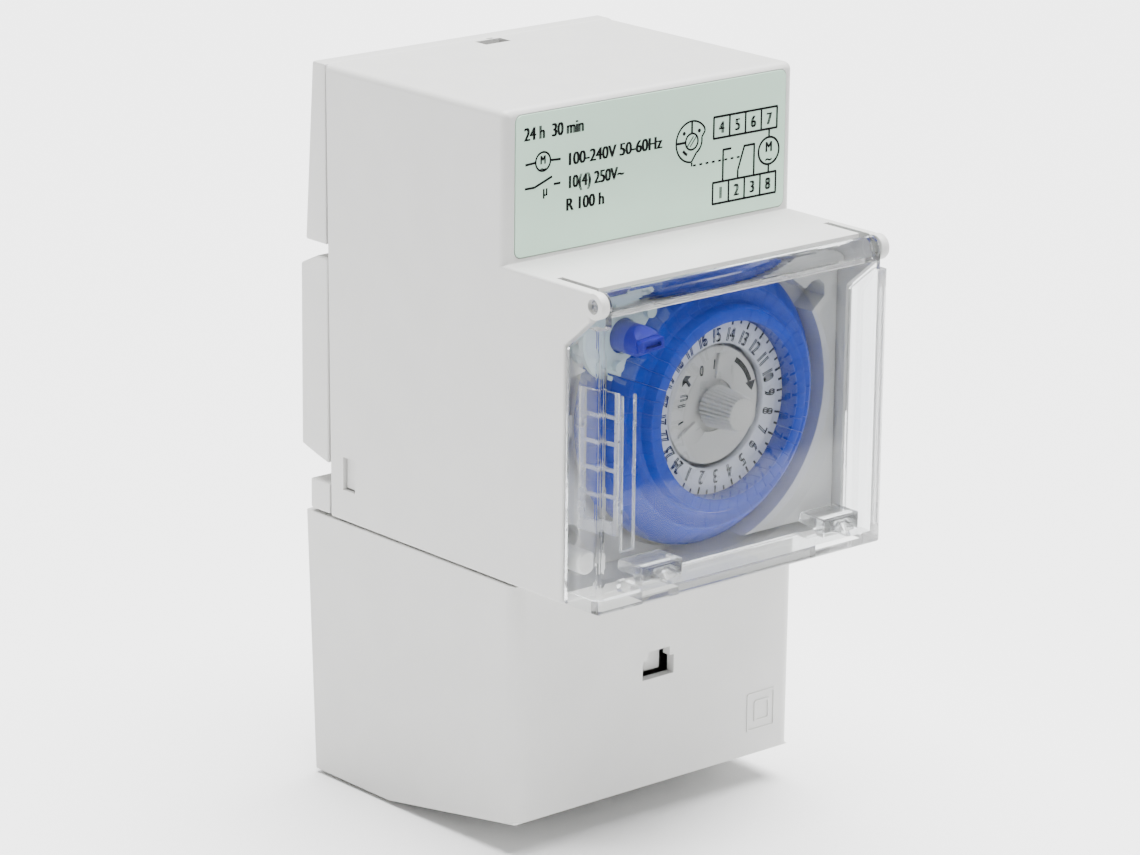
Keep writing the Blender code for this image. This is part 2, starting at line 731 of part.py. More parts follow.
def setting_knob():
    centre = (DIAL_X, DIAL_Z)
    base_y = DISC_FACE_Y - GAP
    profile = [
        (0, KNOB_FACE_Y),
        (KNOB_FACE_RADIUS - 0.3, KNOB_FACE_Y),
        (KNOB_FACE_RADIUS, KNOB_FACE_Y + 0.3),
        (KNOB_BASE_RADIUS, base_y),
        (SHAFT_RADIUS, base_y),
        (SHAFT_RADIUS, -41.0),
        (0, -41.0),
    ]
    knob = part(turned(profile, centre, 24, closed=False), "setting_knob", "disc_grey")
    bore = circle(centre, SHAFT_RADIUS + GAP, 20)
    outline = gear_outline(centre, KNOB_TEETH, IDLER_ANGLE_DEG)
    gear = part(slab([outline, bore], "y", REAR_LAYER), "knob_gear", "white")
    pivot("setting_knob_turn", (DIAL_X, KNOB_FACE_Y, DIAL_Z), knob, gear)


# --------------------------------------------------------------------------- movement

def arbor_place():
    distance = GEAR_MODULE * (DIAL_TEETH + PINION_TEETH) / 2
    return polar((DIAL_X, DIAL_Z), distance, IDLER_ANGLE_DEG)


def motor_place():
    distance = GEAR_MODULE * (WHEEL_TEETH + PINION_TEETH) / 2
    return polar(arbor_place(), distance, MOTOR_ANGLE_DEG)


def dial_spindle():
    """Fixed hollow spindle: the dial turns on it and the knob's shaft turns in it."""
    profile = [
        (SPINDLE_RADIUS, -54.7),
        (SPINDLE_RADIUS, -44.3),
        (5.0, -44.3),
        (5.0, -43.3),
        (SPINDLE_BORE_RADIUS, -43.3),
        (SPINDLE_BORE_RADIUS, -54.7),
    ]
    part(turned(profile, (DIAL_X, DIAL_Z), 24), "dial_spindle", "steel")


def idler_gear():
    """Compound gear: a pinion in front drives the dial, a wheel behind is driven."""
    centre = arbor_place()
    facing_dial = IDLER_ANGLE_DEG + 180 + 180.0 / PINION_TEETH
    facing_knob = IDLER_ANGLE_DEG + 180 + 180.0 / WHEEL_TEETH
    body = slab([gear_outline(centre, WHEEL_TEETH, facing_knob)], "y", REAR_LAYER)
    pinion = slab([gear_outline(centre, PINION_TEETH, facing_dial)], "y", FRONT_LAYER)
    sleeve = rod("y", centre, 2.1, (-46.5, -42.0), 20)
    fuse(body, sleeve, pinion)
    cut(body, rod("y", centre, 0.9, (-60, -30), 12))
    gear = part(body, "idler_gear", "white")
    pivot("idler_turn", (centre[0], -45, centre[1]), gear)
    part(rod("y", centre, 0.6, (-49.1, -25.9), 12), "gear_arbor", "steel")


def wheel_phase_at(degrees):
    """Offset, in degrees, from a direction to the wheel's nearest tooth centre."""
    pitch = 360.0 / WHEEL_TEETH
    first = IDLER_ANGLE_DEG + 180 + pitch / 2
    return (first - degrees + pitch / 2) % pitch - pitch / 2


def stepper_motor():
    """Round can with a blind shaft hole in front, and its rotor pinion."""
    centre = motor_place()
    profile = [
        (0, -38.2),
        (1.1, -38.2),
        (1.1, -40.6),
        (8.6, -40.6),
        (9.0, -40.2),
        (9.0, -25.9),
        (0, -25.9),
    ]
    part(turned(profile, centre, 32, closed=False), "stepper_motor", "steel")
    offset = wheel_phase_at(MOTOR_ANGLE_DEG) * WHEEL_TEETH / PINION_TEETH
    phase = MOTOR_ANGLE_DEG + 180 - offset + 180.0 / PINION_TEETH
    pinion = slab([gear_outline(centre, PINION_TEETH, phase)], "y", REAR_LAYER)
    fuse(pinion, rod("y", centre, 0.7, (-42.0, -38.6), 12))
    item = part(pinion, "motor_pinion", "brass")
    pivot("motor_turn", (centre[0], REAR_LAYER[0], centre[1]), item)


def movement_plate():
    body = block((-24, 24), (-45.9, -44.6), (-20.4, 20.4))
    cut(body, rod("y", (DIAL_X, DIAL_Z), SPINDLE_RADIUS + GAP, (-50, -40)))
    cut(body, rod("y", arbor_place(), 2.5, (-50, -40)))
    cut(body, rod("y", (LEVER_X, LEVER_Z), 1.3, (-50, -40), 16))
    cut(body, block((-23.5, -19.8), (-50, -40), (-3.7, 3.7)))
    part(body, "movement_plate", "bezel_grey")


def switch():
    """Leaf switch on the board, worked by a follower that feels the tappets' rims."""
    part(block((-21.5, -10), (-33, -25.9), (-4, 4)), "switch_body", "black")
    part(block((-20.3, -19.9), (-42, -33.3), (-2, 2)), "moving_contact", "brass")
    part(block((-18.9, -18.5), (-42, -33.3), (-2, 2)), "fixed_contact", "brass")
    arm = block((-22.6, -21.0), (-52.0, -39.8), (-1.5, 1.5))
    nose = block((-21.2, -19.6), (-52.0, -51.2), (-1.5, 1.5))
    trunnion = rod("z", (-21.8, -45.25), 0.9, (-3.3, 3.3), 12)
    fuse(arm, nose, trunnion)
    follower = part(arm, "switch_follower", "white")
    pivot("switch_follower_rock", (-21.8, -45.25, 0), follower)


def electronics():
    part(block((-23.8, 23.8), (-25.6, -24.0), (-20.6, 40.6)), "circuit_board", "board_green")
    part(rod("y", (14, -9), 6.2, (-32, -25.9), 24), "backup_battery", "steel")
    part(rod("y", (-15, 33), 4.2, (-38, -25.9), 20), "capacitor", "black")


# --------------------------------------------------------------------------- terminals

def terminal_block():
    """Two-tier block with four clamp pockets in each tier, wired from below."""
    upper_front, lower_front = TIER_FRONT_YS
    upper_bottom, lower_bottom = TIER_BOTTOM_ZS
    rear = -4.6
    outline = [
        (rear, -24.2),
        (upper_front, -24.2),
        (upper_front, upper_bottom),
        (lower_front, upper_bottom),
        (lower_front, lower_bottom),
        (rear, lower_bottom),
    ]
    body = slab([outline], "x", (-23.6, 23.6))
    for front, bottom in zip(TIER_FRONT_YS, TIER_BOTTOM_ZS):
        for x in TERMINAL_XS:
            pocket = block((x - 3.5, x + 3.5), (front + 3.2, front + 11.1), (bottom - 1, bottom + 8.1))
            access = rod("y", (x, bottom + 5), 2.4, (front - 1, front + 4), 16)
            cut(body, pocket, access)
    tongue = block((-1.6, 2.0), (-45.7, -42.5), (-41.3, -36.9))
    fuse(body, tongue)
    part(body, "terminal_block", "black")


def terminals():
    """One cage clamp and one screw in each pocket."""
    number = 0
    for front, bottom in zip(TIER_FRONT_YS, TIER_BOTTOM_ZS):
        for x in TERMINAL_XS:
            number += 1
            clamp = block((x - 3.2, x + 3.2), (front + 3.6, front + 10.7), (bottom + 0.5, bottom + 7.7))
            cut(clamp, block((x - 1.8, x + 1.8), (front + 5.2, front + 8.9), (bottom, bottom + 8)))
            cut(clamp, rod("y", (x, bottom + 5), 1.4, (front + 3, front + 6), 12))
            part(clamp, f"terminal_clamp_{number}", "brass")
            screw = rod("y", (x, bottom + 5), 2.1, (front + 0.5, front + 2.9), 16)
            fuse(screw, rod("y", (x, bottom + 5), 1.1, (front + 2.5, front + 5.0), 12))
            cut(screw, block((x - 3, x + 3), (front - 1, front + 1.2), (bottom + 4.7, bottom + 5.3)))
            part(screw, f"terminal_screw_{number}", "steel")


clear_scene()
TIMER = make_collection("programmable_timer")
TOOLS = make_collection("cutters")

front_housing()
rear_base()
wall_rail_adapter()
rail_latch()
terminal_cover()
clear_cover()
front_bezel()
label_plate()
reset_pin()
override_lever()
selector_plate()
dial()
centre_disc()
setting_knob()
dial_spindle()
idler_gear()
stepper_motor()
movement_plate()
switch()
electronics()
terminal_block()
terminals()
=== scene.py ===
"""Looks of the rail-mounted programmable timer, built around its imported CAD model.

Dimensions are in millimetres in the CAD frame: +Z up, the front faces -Y, and the origin is
the middle of the wall adapter's rear face. The helpers convert to metres.
"""
import math

import bmesh
import bpy
from mathutils import Matrix, Vector


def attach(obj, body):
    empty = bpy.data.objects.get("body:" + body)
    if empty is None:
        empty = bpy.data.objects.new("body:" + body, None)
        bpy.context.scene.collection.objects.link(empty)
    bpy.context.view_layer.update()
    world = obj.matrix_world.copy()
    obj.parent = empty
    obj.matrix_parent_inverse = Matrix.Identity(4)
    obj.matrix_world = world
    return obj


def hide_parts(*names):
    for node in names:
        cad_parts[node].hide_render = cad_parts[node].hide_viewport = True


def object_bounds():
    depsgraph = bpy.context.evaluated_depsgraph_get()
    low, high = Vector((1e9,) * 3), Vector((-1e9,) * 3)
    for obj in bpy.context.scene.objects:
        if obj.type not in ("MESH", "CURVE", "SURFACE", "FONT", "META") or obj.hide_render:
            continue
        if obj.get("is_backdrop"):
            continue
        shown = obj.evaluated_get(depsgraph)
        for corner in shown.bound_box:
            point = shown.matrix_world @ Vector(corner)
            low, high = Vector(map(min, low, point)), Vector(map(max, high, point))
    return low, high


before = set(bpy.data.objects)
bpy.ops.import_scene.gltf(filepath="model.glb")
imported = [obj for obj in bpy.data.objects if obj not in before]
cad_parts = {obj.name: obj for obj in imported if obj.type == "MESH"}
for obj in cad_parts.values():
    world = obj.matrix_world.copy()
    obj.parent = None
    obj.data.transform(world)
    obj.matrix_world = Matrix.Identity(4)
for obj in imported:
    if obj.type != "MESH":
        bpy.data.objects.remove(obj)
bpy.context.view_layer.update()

MM = 0.001

# Enclosure, as in the CAD model.
HALF_WIDTH = 26.5
INNER = 25.0
TOP_Z = 43.0
UPPER_FRONT_Y = -44.7
NOSE_TOP_Z = 21.8
NOSE_BOTTOM_Z = -22.8
NOSE_FRONT_Y = -57.45
SEAM_TOP_Y = -5.9
SEAM_BOTTOM_Y = -6.8
HINGE = (-63.1, 20.0)
COVER_FRONT_Y = -64.9
COVER_INNER_Y = -63.6
COVER_REAR_Y = -57.75
COVER_BOTTOM_Z = -22.6
COVER_WALL_X = 25.2

# Dial, knob and lever.
DIAL = (1.4, 0.0)
WELL_RADIUS = 21.15
FACE_Y = -56.6
DISC_Y = -56.1
DIAL_TURN = 0.9
TAPPETS = 48
TAPPET_PITCH = 360.0 / TAPPETS
KNOB_FACE_Y = -62.1
LEVER = (-16.1, 13.1)
LEVER_TILT = 4.5
RESET = (-22.45, -17.3)
BEZEL_RIGHT_Y = -56.0
BEZEL_LEVER_Y = -53.0
BEZEL_PLATE_Y = -51.0

# Label and printing.
LABEL_Y = -44.8
LABEL_X = (-24.5, 25.0)
LABEL_Z = (22.5, 42.1)
INK = 0.03

# Surfaces: grain size in mm, bump depth in metres, noise scales per metre.
GRAIN = 0.28
GRAIN_DEPTH = 0.00003
MOTTLE_SCALE = 140.0
HAZE_SCALE = 260.0
SCRATCH_SCALE = 4000.0
PLASTIC_IOR = 1.5
CLEAR_IOR = 1.45
CLEAR_OPACITY = 0.88

# Camera: place in mm, then azimuth, elevation and roll in degrees, then focal length.
CAMERA_PLACE = (-409.46, -500.63, 175.82)
CAMERA_ANGLES = (-40.915, 16.513, 0.635)
CAMERA_LENS = 144.4

# Stage: floor edges in metres, floor shade and light strengths.
FLOOR_FRONT_Y = -0.2
FLOOR_REACH = 3.0
FLOOR_DROP = 0.0005
FLOOR_SHADE = 0.9
WORLD_STRENGTH = 0.45
CEILING_STRENGTH = 14.0
CEILING_SPREAD = 60
CEILING_TILT = 8
SOFTBOX_POWER = 2.5
SOFTBOX_SIZE = 0.9
SOFTBOX_PLACE = (0.3, -1.1, 0.35)


# --------------------------------------------------------------------------- mesh helpers

def from_bmesh(bm):
    """Turn a bmesh into an object in the scene, and free the bmesh."""
    mesh = bpy.data.meshes.new("shape")
    bm.to_mesh(mesh)
    bm.free()
    item = bpy.data.objects.new("shape", mesh)
    bpy.context.scene.collection.objects.link(item)
    return item


def settle(item):
    """Apply an object's modifiers to its mesh."""
    bpy.context.view_layer.update()
    evaluated = item.evaluated_get(bpy.context.evaluated_depsgraph_get())
    mesh = bpy.data.meshes.new_from_object(evaluated)
    old = item.data
    item.modifiers.clear()
    item.data = mesh
    bpy.data.meshes.remove(old)
    return item


def combine(item, operation, tools):
    """Apply one boolean operation with several tools, then delete the tools."""
    for tool in tools:
        modifier = item.modifiers.new("combine", "BOOLEAN")
        modifier.operation = operation
        modifier.object = tool
    settle(item)
    for tool in tools:
        bpy.data.objects.remove(tool, do_unlink=True)
    return item


def fuse(item, *tools):
    return combine(item, "UNION", tools)


def cut(item, *tools):
    return combine(item, "DIFFERENCE", tools)


def join(first, *others):
    """Put several meshes in one object without joining their surfaces."""
    bm = bmesh.new()
    for item in (first, *others):
        bm.from_mesh(item.data)
    for item in others:
        bpy.data.objects.remove(item, do_unlink=True)
    bm.to_mesh(first.data)
    bm.free()
    return first


def soften(item, width, segments=3, weight=None, angle=30):
    """Round the edges; weight(middle, direction) gives an edge's share of the width."""
    modifier = item.modifiers.new("bevel", "BEVEL")
    modifier.width = width * MM
    modifier.segments = segments
    modifier.use_clamp_overlap = False
    if weight is None:
        modifier.limit_method = "ANGLE"
        modifier.angle_limit = math.radians(angle)
    else:
        mesh = item.data
        modifier.limit_method = "WEIGHT"
        layer = mesh.attributes.new("bevel_weight_edge", "FLOAT", "EDGE")
        for edge in mesh.edges:
            start, end = (mesh.vertices[i].co / MM for i in edge.vertices)
            layer.data[edge.index].value = weight((start + end) / 2, (end - start).normalized())
    return settle(item)


def block(x, y, z):
    """Box between the given spans, in any order of their ends."""
    spans = [sorted(span) for span in (x, y, z)]
    bm = bmesh.new()
    bmesh.ops.create_cube(bm, size=1.0)
    size = [(high - low) * MM for low, high in spans]
    middle = [(high + low) / 2 * MM for low, high in spans]
    bmesh.ops.scale(bm, vec=size, verts=bm.verts)
    bmesh.ops.translate(bm, vec=middle, verts=bm.verts)
    return from_bmesh(bm)


def rod(axis, centre, radius, span, sides=64):
    """Cylinder along an axis; centre holds its other two coordinates in order."""
    low, high = sorted(span)
    middle = 0.5 * (low + high)
    place, turn = {
        "x": ((middle, *centre), Matrix.Rotation(math.pi / 2, 4, "Y")),
        "y": ((centre[0], middle, centre[1]), Matrix.Rotation(-math.pi / 2, 4, "X")),
        "z": ((*centre, middle), Matrix.Identity(4)),
    }[axis]
    bm = bmesh.new()
    bmesh.ops.create_cone(
        bm, cap_ends=True, segments=sides, radius1=radius * MM, radius2=radius * MM,
        depth=(high - low) * MM,
    )
    item = from_bmesh(bm)
    item.data.transform(Matrix.Translation(Vector(place) * MM) @ turn)
    return item


def prism(outline, across, span):
    """Outline extruded across 'x' (points are y, z) or across 'y' (points are x, z)."""
    low, high = sorted(span)
    bm = bmesh.new()
    if across == "x":
        verts = [bm.verts.new((low * MM, u * MM, v * MM)) for u, v in outline]
        move = ((high - low) * MM, 0, 0)
    else:
        verts = [bm.verts.new((u * MM, low * MM, v * MM)) for u, v in outline]
        move = (0, (high - low) * MM, 0)
    face = bm.faces.new(verts)
    moved = bmesh.ops.extrude_face_region(bm, geom=[face])["geom"]
    bmesh.ops.translate(bm, vec=move, verts=[g for g in moved if isinstance(g, bmesh.types.BMVert)])
    bmesh.ops.recalc_face_normals(bm, faces=bm.faces)
    return from_bmesh(bm)


def turned(profile, centre, steps=96, start=0.0, sweep=360.0):
    """Profile of (radius, y) points swept about a Y axis through centre (x, z)."""
    bm = bmesh.new()
    angle = math.radians(start)
    verts = []
    for radius, y in profile:
        point = (radius * math.cos(angle) * MM, y * MM, radius * math.sin(angle) * MM)
        verts.append(bm.verts.new(point))
    face = bm.faces.new(verts)
    bmesh.ops.spin(
        bm, geom=[face, *face.edges, *face.verts], axis=(0, -1, 0), cent=(0, 0, 0),
        angle=math.radians(sweep), steps=steps, use_duplicate=False,
    )
    bmesh.ops.remove_doubles(bm, verts=bm.verts, dist=1e-6)
    if sweep >= 360.0:
        # A full turn leaves its starting profile behind as a face inside the ring. It goes here,
        # but stays on a profile of four points, whose side faces have four corners too.
        inside = [f for f in bm.faces if len(f.verts) == len(profile) and len(profile) > 4]
        bmesh.ops.delete(bm, geom=inside, context="FACES_ONLY")
    bmesh.ops.recalc_face_normals(bm, faces=bm.faces)
    bmesh.ops.translate(bm, vec=(centre[0] * MM, 0, centre[1] * MM), verts=bm.verts)
    return from_bmesh(bm)


def polar(centre, radius, degrees):
    """Point at a radius and angle from a centre."""
    angle = math.radians(degrees)
    return (centre[0] + radius * math.cos(angle), centre[1] + radius * math.sin(angle))


def arc(centre, radius, start, end, count=16):
    """Points along an arc between two angles, both ends included."""
    step = (end - start) / (count - 1)
    return [polar(centre, radius, start + step * i) for i in range(count)]


def rounded(low, high, radius, count=7):
    """Rectangle outline with rounded corners, between two opposite corners."""
    (x0, z0), (x1, z1) = low, high
    points = arc((x1 - radius, z0 + radius), radius, -90, 0, count)
    points += arc((x1 - radius, z1 - radius), radius, 0, 90, count)
    points += arc((x0 + radius, z1 - radius), radius, 90, 180, count)
    return points + arc((x0 + radius, z0 + radius), radius, 180, 270, count)


def dress(item, name, material, body, replaced=(), angle=35):
    """Name a finished piece, shade it, tie it to its body and hide the CAD nodes it replaces."""
    item.name = name
    item.data.name = name
    item.data.materials.clear()
    item.data.materials.append(material)
    item.data.shade_smooth()
    item.data.set_sharp_from_angle(angle=math.radians(angle))
    modifier = item.modifiers.new("normals", "WEIGHTED_NORMAL")
    modifier.keep_sharp = True
    settle(item)
    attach(item, body)
    if replaced:
        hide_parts(*replaced)
    return item


# --------------------------------------------------------------------------- materials

def shader_of(name):
    """New material with its nodes, links and Principled shader."""
    material = bpy.data.materials.new(name)
    material.use_nodes = True
    nodes = material.node_tree.nodes
    return material, nodes, material.node_tree.links, nodes["Principled BSDF"]


def noise_of(nodes, links, coordinates, scale, detail=3.0):
    """Noise texture in object coordinates."""
    noise = nodes.new("ShaderNodeTexNoise")
    noise.inputs["Scale"].default_value = scale
    noise.inputs["Detail"].default_value = detail
    links.new(coordinates.outputs["Object"], noise.inputs["Vector"])
    return noise


def ramp_of(nodes, links, source, low, high, start=0.3, end=0.7):
    """Two-colour ramp driven by a noise texture."""
    ramp = nodes.new("ShaderNodeValToRGB")
    ramp.color_ramp.elements[0].position = start
    ramp.color_ramp.elements[1].position = end
    ramp.color_ramp.elements[0].color = low
    ramp.color_ramp.elements[1].color = high
    links.new(source.outputs["Fac"], ramp.inputs["Fac"])
    return ramp


def scaled(colour, factor):
    """Colour times a factor, clipped at 1, with alpha 1."""
    return (*(min(1.0, channel * factor) for channel in colour), 1.0)


def moulded(name, colour, roughness=0.45, grain=0.25, mottle=0.02, sheen=0.5):
    """Moulded plastic: faint mottling, varied gloss and a fine spark-eroded grain."""
    material, nodes, links, shader = shader_of(name)
    where = nodes.new("ShaderNodeTexCoord")
    patches = noise_of(nodes, links, where, MOTTLE_SCALE)
    tint = ramp_of(nodes, links, patches, scaled(colour, 1 - mottle), scaled(colour, 1 + mottle))
    links.new(tint.outputs["Color"], shader.inputs["Base Color"])
    fine = noise_of(nodes, links, where, 1 / (GRAIN * MM), 2.0)
    gloss = ramp_of(
        nodes, links, fine, scaled((roughness - 0.05,) * 3, 1), scaled((roughness + 0.05,) * 3, 1)
    )
    links.new(gloss.outputs["Color"], shader.inputs["Roughness"])
    bump = nodes.new("ShaderNodeBump")
    bump.inputs["Strength"].default_value = grain
    bump.inputs["Distance"].default_value = GRAIN_DEPTH
    links.new(fine.outputs["Fac"], bump.inputs["Height"])
    links.new(bump.outputs["Normal"], shader.inputs["Normal"])
    shader.inputs["IOR"].default_value = PLASTIC_IOR
    shader.inputs["Specular IOR Level"].default_value = sheen
    return material


def clear_plastic(name, tint, roughness=0.02, clarity=1.0, mirror=0.03):
    """Transparent moulding with faint haze.

    Clarity below 1 gives milky faces, and mirror scales the reflection at each surface.
    """
    material, nodes, links, shader = shader_of(name)
    where = nodes.new("ShaderNodeTexCoord")
    haze = noise_of(nodes, links, where, HAZE_SCALE)
    gloss = ramp_of(
        nodes, links, haze, scaled((roughness * 0.5,) * 3, 1), scaled((roughness * 1.8,) * 3, 1)
    )
    links.new(gloss.outputs["Color"], shader.inputs["Roughness"])
    shader.inputs["Base Color"].default_value = (*tint, 1.0)
    shader.inputs["Transmission Weight"].default_value = clarity
    shader.inputs["Specular Tint"].default_value = (mirror, mirror, mirror, 1.0)
    shader.inputs["Alpha"].default_value = CLEAR_OPACITY
    shader.inputs["IOR"].default_value = CLEAR_IOR
    return material


def metal(name, colour, roughness=0.28):
    """Bright metal with fine drawn scratches."""
    material, nodes, links, shader = shader_of(name)
    where = nodes.new("ShaderNodeTexCoord")
    stretch = nodes.new("ShaderNodeMapping")
    stretch.inputs["Scale"].default_value = (1.0, 0.08, 1.0)
    links.new(where.outputs["Object"], stretch.inputs["Vector"])
    scratches = nodes.new("ShaderNodeTexNoise")
    scratches.inputs["Scale"].default_value = SCRATCH_SCALE
    links.new(stretch.outputs["Vector"], scratches.inputs["Vector"])
    gloss = ramp_of(
        nodes, links, scratches, scaled((roughness * 0.7,) * 3, 1), scaled((roughness * 1.4,) * 3, 1)
    )
    links.new(gloss.outputs["Color"], shader.inputs["Roughness"])
    shader.inputs["Base Color"].default_value = (*colour, 1.0)
    shader.inputs["Metallic"].default_value = 1.0
    return material


HOUSING = moulded("housing_grey", (0.60, 0.60, 0.585), 0.42, grain=0.35)
# Housing grey painted a little darker as painted shade from the clear cover; used on the tray and on
# inner parts.
GREY_PAINTED_SHADE = moulded("bezel_grey", (0.56, 0.565, 0.56), 0.5, grain=0.3)
BLUE = moulded("tappet_blue", (0.004, 0.040, 0.42), 0.38, grain=0.2, mottle=0.06, sheen=0.25)
LEVER_BLUE = moulded("lever_blue", (0.012, 0.014, 0.36), 0.36, grain=0.2, mottle=0.05, sheen=0.25)
NUMBER_WHITE = moulded("number_white", (0.63, 0.66, 0.74), 0.45, grain=0.15)
DISC_GREY = moulded("disc_grey", (0.55, 0.55, 0.535), 0.48, grain=0.3)
CYAN = moulded("selector_cyan", (0.50, 0.62, 0.66), 0.3, grain=0.1)
WHITE = moulded("white_plastic", (0.82, 0.82, 0.80), 0.35, grain=0.1)
LABEL_FILM = moulded("label_film", (0.53, 0.74, 0.60), 0.35, grain=0.05, mottle=0.015)
INK_BLACK = moulded("printing_ink", (0.006, 0.006, 0.007), 0.4, grain=0.05, sheen=0.08)
BLACK = moulded("black_plastic", (0.02, 0.02, 0.021), 0.45, grain=0.3, mottle=0.1)
BOARD = moulded("board_green", (0.03, 0.17, 0.07), 0.35, grain=0.1, mottle=0.15)
CLEAR = clear_plastic("clear_cover", (0.965, 0.98, 0.985))
CLEAR_EDGE = clear_plastic("clear_edge", (0.95, 0.96, 0.97), 0.2, clarity=0.78, mirror=0.8)
STEEL = metal("steel", (0.60, 0.60, 0.61))
BRASS = metal("brass", (0.72, 0.54, 0.22))


# --------------------------------------------------------------------------- enclosure

def front_housing():
    """Front shell: upper section and nose, with hinge ears and a label recess.

    It is also cut for its rooms, the hinge pins, a slot on top, one below and the side clips.
    """
    outline = [
        (SEAM_TOP_Y, TOP_Z),
        (UPPER_FRONT_Y, TOP_Z),
        (UPPER_FRONT_Y, NOSE_TOP_Z),
        (-62.4, NOSE_TOP_Z),
        (-62.4, 17.8),
        (NOSE_FRONT_Y, 13.6),
        (NOSE_FRONT_Y, NOSE_BOTTOM_Z),
        (SEAM_BOTTOM_Y, NOSE_BOTTOM_Z),
    ]
    body = prism(outline, "x", (-HALF_WIDTH, HALF_WIDTH))

    def weight(middle, direction):
        rear = middle.y > -8
        upper = middle.z > NOSE_TOP_Z + 1
        if rear and abs(direction.y) < 0.5:
            return 0.15
        if upper:
            return 1.0
        if abs(direction.x) > 0.5:
            return 0.3 if middle.y < -50 else 0.2
        return 0.35

    soften(body, 1.1, 4, weight)
    gap = 0.12
    recess_low = (LABEL_X[0] - gap, LABEL_Z[0] - gap)
    recess_high = (LABEL_X[1] + gap, LABEL_Z[1] + gap)
    recess_depth = (UPPER_FRONT_Y - 1, UPPER_FRONT_Y + 0.25)
    rooms = [
        block((-INNER, INNER), (0, UPPER_FRONT_Y + 1.5), (-21.3, TOP_Z - 1.5)),
        block((-INNER, INNER), (-20, -70), (-21.3, 20.75)),
        block((-0.3, 4.3), (-6.9, -9.4), (40, 45)),
        block((2.4, 3.5), (-6.0, -6.6), (42.6, 45)),
        prism(rounded(recess_low, recess_high, 1.1), "y", recess_depth),
        block((-20, 20), (-12, -20), (-25, -20)),
    ]
    cut(body, *rooms)
    for side in (-1, 1):
        ear = soften(rod("x", HINGE, 1.85, (side * INNER, side * HALF_WIDTH), 48), 0.25, 2)
        fuse(body, ear)
    openings = [block((-24.9, 24.9), (-61.3, -70), (15, 30))]
    for side in (-1, 1):
        openings.append(rod("x", HINGE, 1.05, (side * 24, side * 28), 32))
        openings.append(block((side * 24.0, side * 25.02), (-54, -70), (18, 30)))
        openings.append(block((side * 24, side * 28), (-9.6, -12.3), (-18.2, -13.3)))
    cut(body, *openings)
    dress(body, "housing_shell", HOUSING, "case", ["front_housing"])


def rear_base():
    """Rear shell: cap, recess floor, lug, ribbed back plate, four posts and one clip tongue."""
    cap_outline = [(-2.8, TOP_Z), (SEAM_TOP_Y + 0.15, TOP_Z), (-5.85, 17.0), (-1.1, 17.0)]
    cap = soften(prism(cap_outline, "x", (-HALF_WIDTH, HALF_WIDTH)), 0.35, 2)
    cut(cap, block((-25, 25), (-9, -4.4), (18.5, 41.5)))
    floor = block((-24.6, 24.6), (-8.2, -6.6), (-19.8, 18.4))
    top_web = block((-24.6, 24.6), (-8.2, -5.0), (17.05, 18.4))
    lug = soften(block((-HALF_WIDTH, HALF_WIDTH), (-6.4, -2.0), (-22.6, -18.1)), 0.3, 2)
    lug_web = block((-24.6, 24.6), (-8.2, -6.0), (-20.9, -18.4))
    back_plate = soften(block((-24.4, 24.4), (-4.2, -1.4), (-61, -20)), 0.3, 2)
    hook = soften(block((-18, 18), (-3.4, -1.3), (15.5, 17.4)), 0.2, 2)
    ribs = [block((x - 0.5, x + 0.5), (-1.6, -1.0), (-59, -36)) for x in (-18, -12, 12, 18)]
    fuse(cap, floor, top_web, lug, lug_web, back_plate, hook)
    fuse(cap, *ribs)
    for x, z in ((-19, 32), (19, 32), (-20, -14), (20, -14)):
        fuse(cap, rod("y", (x, z), 1.8, (-23.7, -3.5 if z > 0 else -7.0), 24))
    for x in (-17, 17):
        cut(cap, block((x - 4, x + 4), (-1.9, 0), (24, 38)))
    cut(cap, block((-7.6, 7.6), (-3.7, 1), (-33.2, -15)))
    fuse(cap, block((-1.2, 1.2), (-4.0, -1.8), (-28.9, -27.7)))
    tongue = block((-24.85, -24.2), (-12.1, -7), (-17.9, -13.6))
    tongue_head = block((-25.9, -24.2), (-12.1, -9.8), (-17.9, -13.6))
    fuse(cap, tongue, tongue_head)
    dress(cap, "base_shell", HOUSING, "case", ["rear_base"])


def wall_adapter():
    """Block in the rail recess, with two screw holes and three shallow slots."""
    outline = [
        (0, 13.4), (-3.7, 15.1), (-6.1, 15.1), (-6.1, -15.1), (-3.7, -14.5), (0, -13.4),
    ]
    body = soften(prism(outline, "x", (-HALF_WIDTH, HALF_WIDTH)), 0.3, 3)
    fuse(body, soften(block((-19, 19), (-6.1, -3.8), (-16.5, 16.5)), 0.2, 2))
    for side in (-1, 1):
        cut(body, rod("y", (side * 15, 0), 2.2, (-8, 2)), rod("y", (side * 15, 0), 4.2, (-8, -4)))
    for x in (-22.5, 0, 22.5):
        cut(body, block((x - 1.6, x + 1.6), (-1.2, 1), (-9.5, 9.5)))
    dress(body, "adapter_block", HOUSING, "adapter", ["wall_rail_adapter"])


def rail_latch():
    """Sprung slide with a window for its spring and a shallow groove across it."""
    body = soften(block((-7, 7), (-3.4, -1.4), (-30.5, -15.6)), 0.25, 2)
    cut(body, block((-1.7, 1.7), (-5, 0), (-29.2, -20.8)))
    cut(body, block((-5, 5), (-1.9, 0), (-19.4, -18.4)))
    dress(body, "latch_slide", WHITE, "rail_latch", ["rail_latch"])


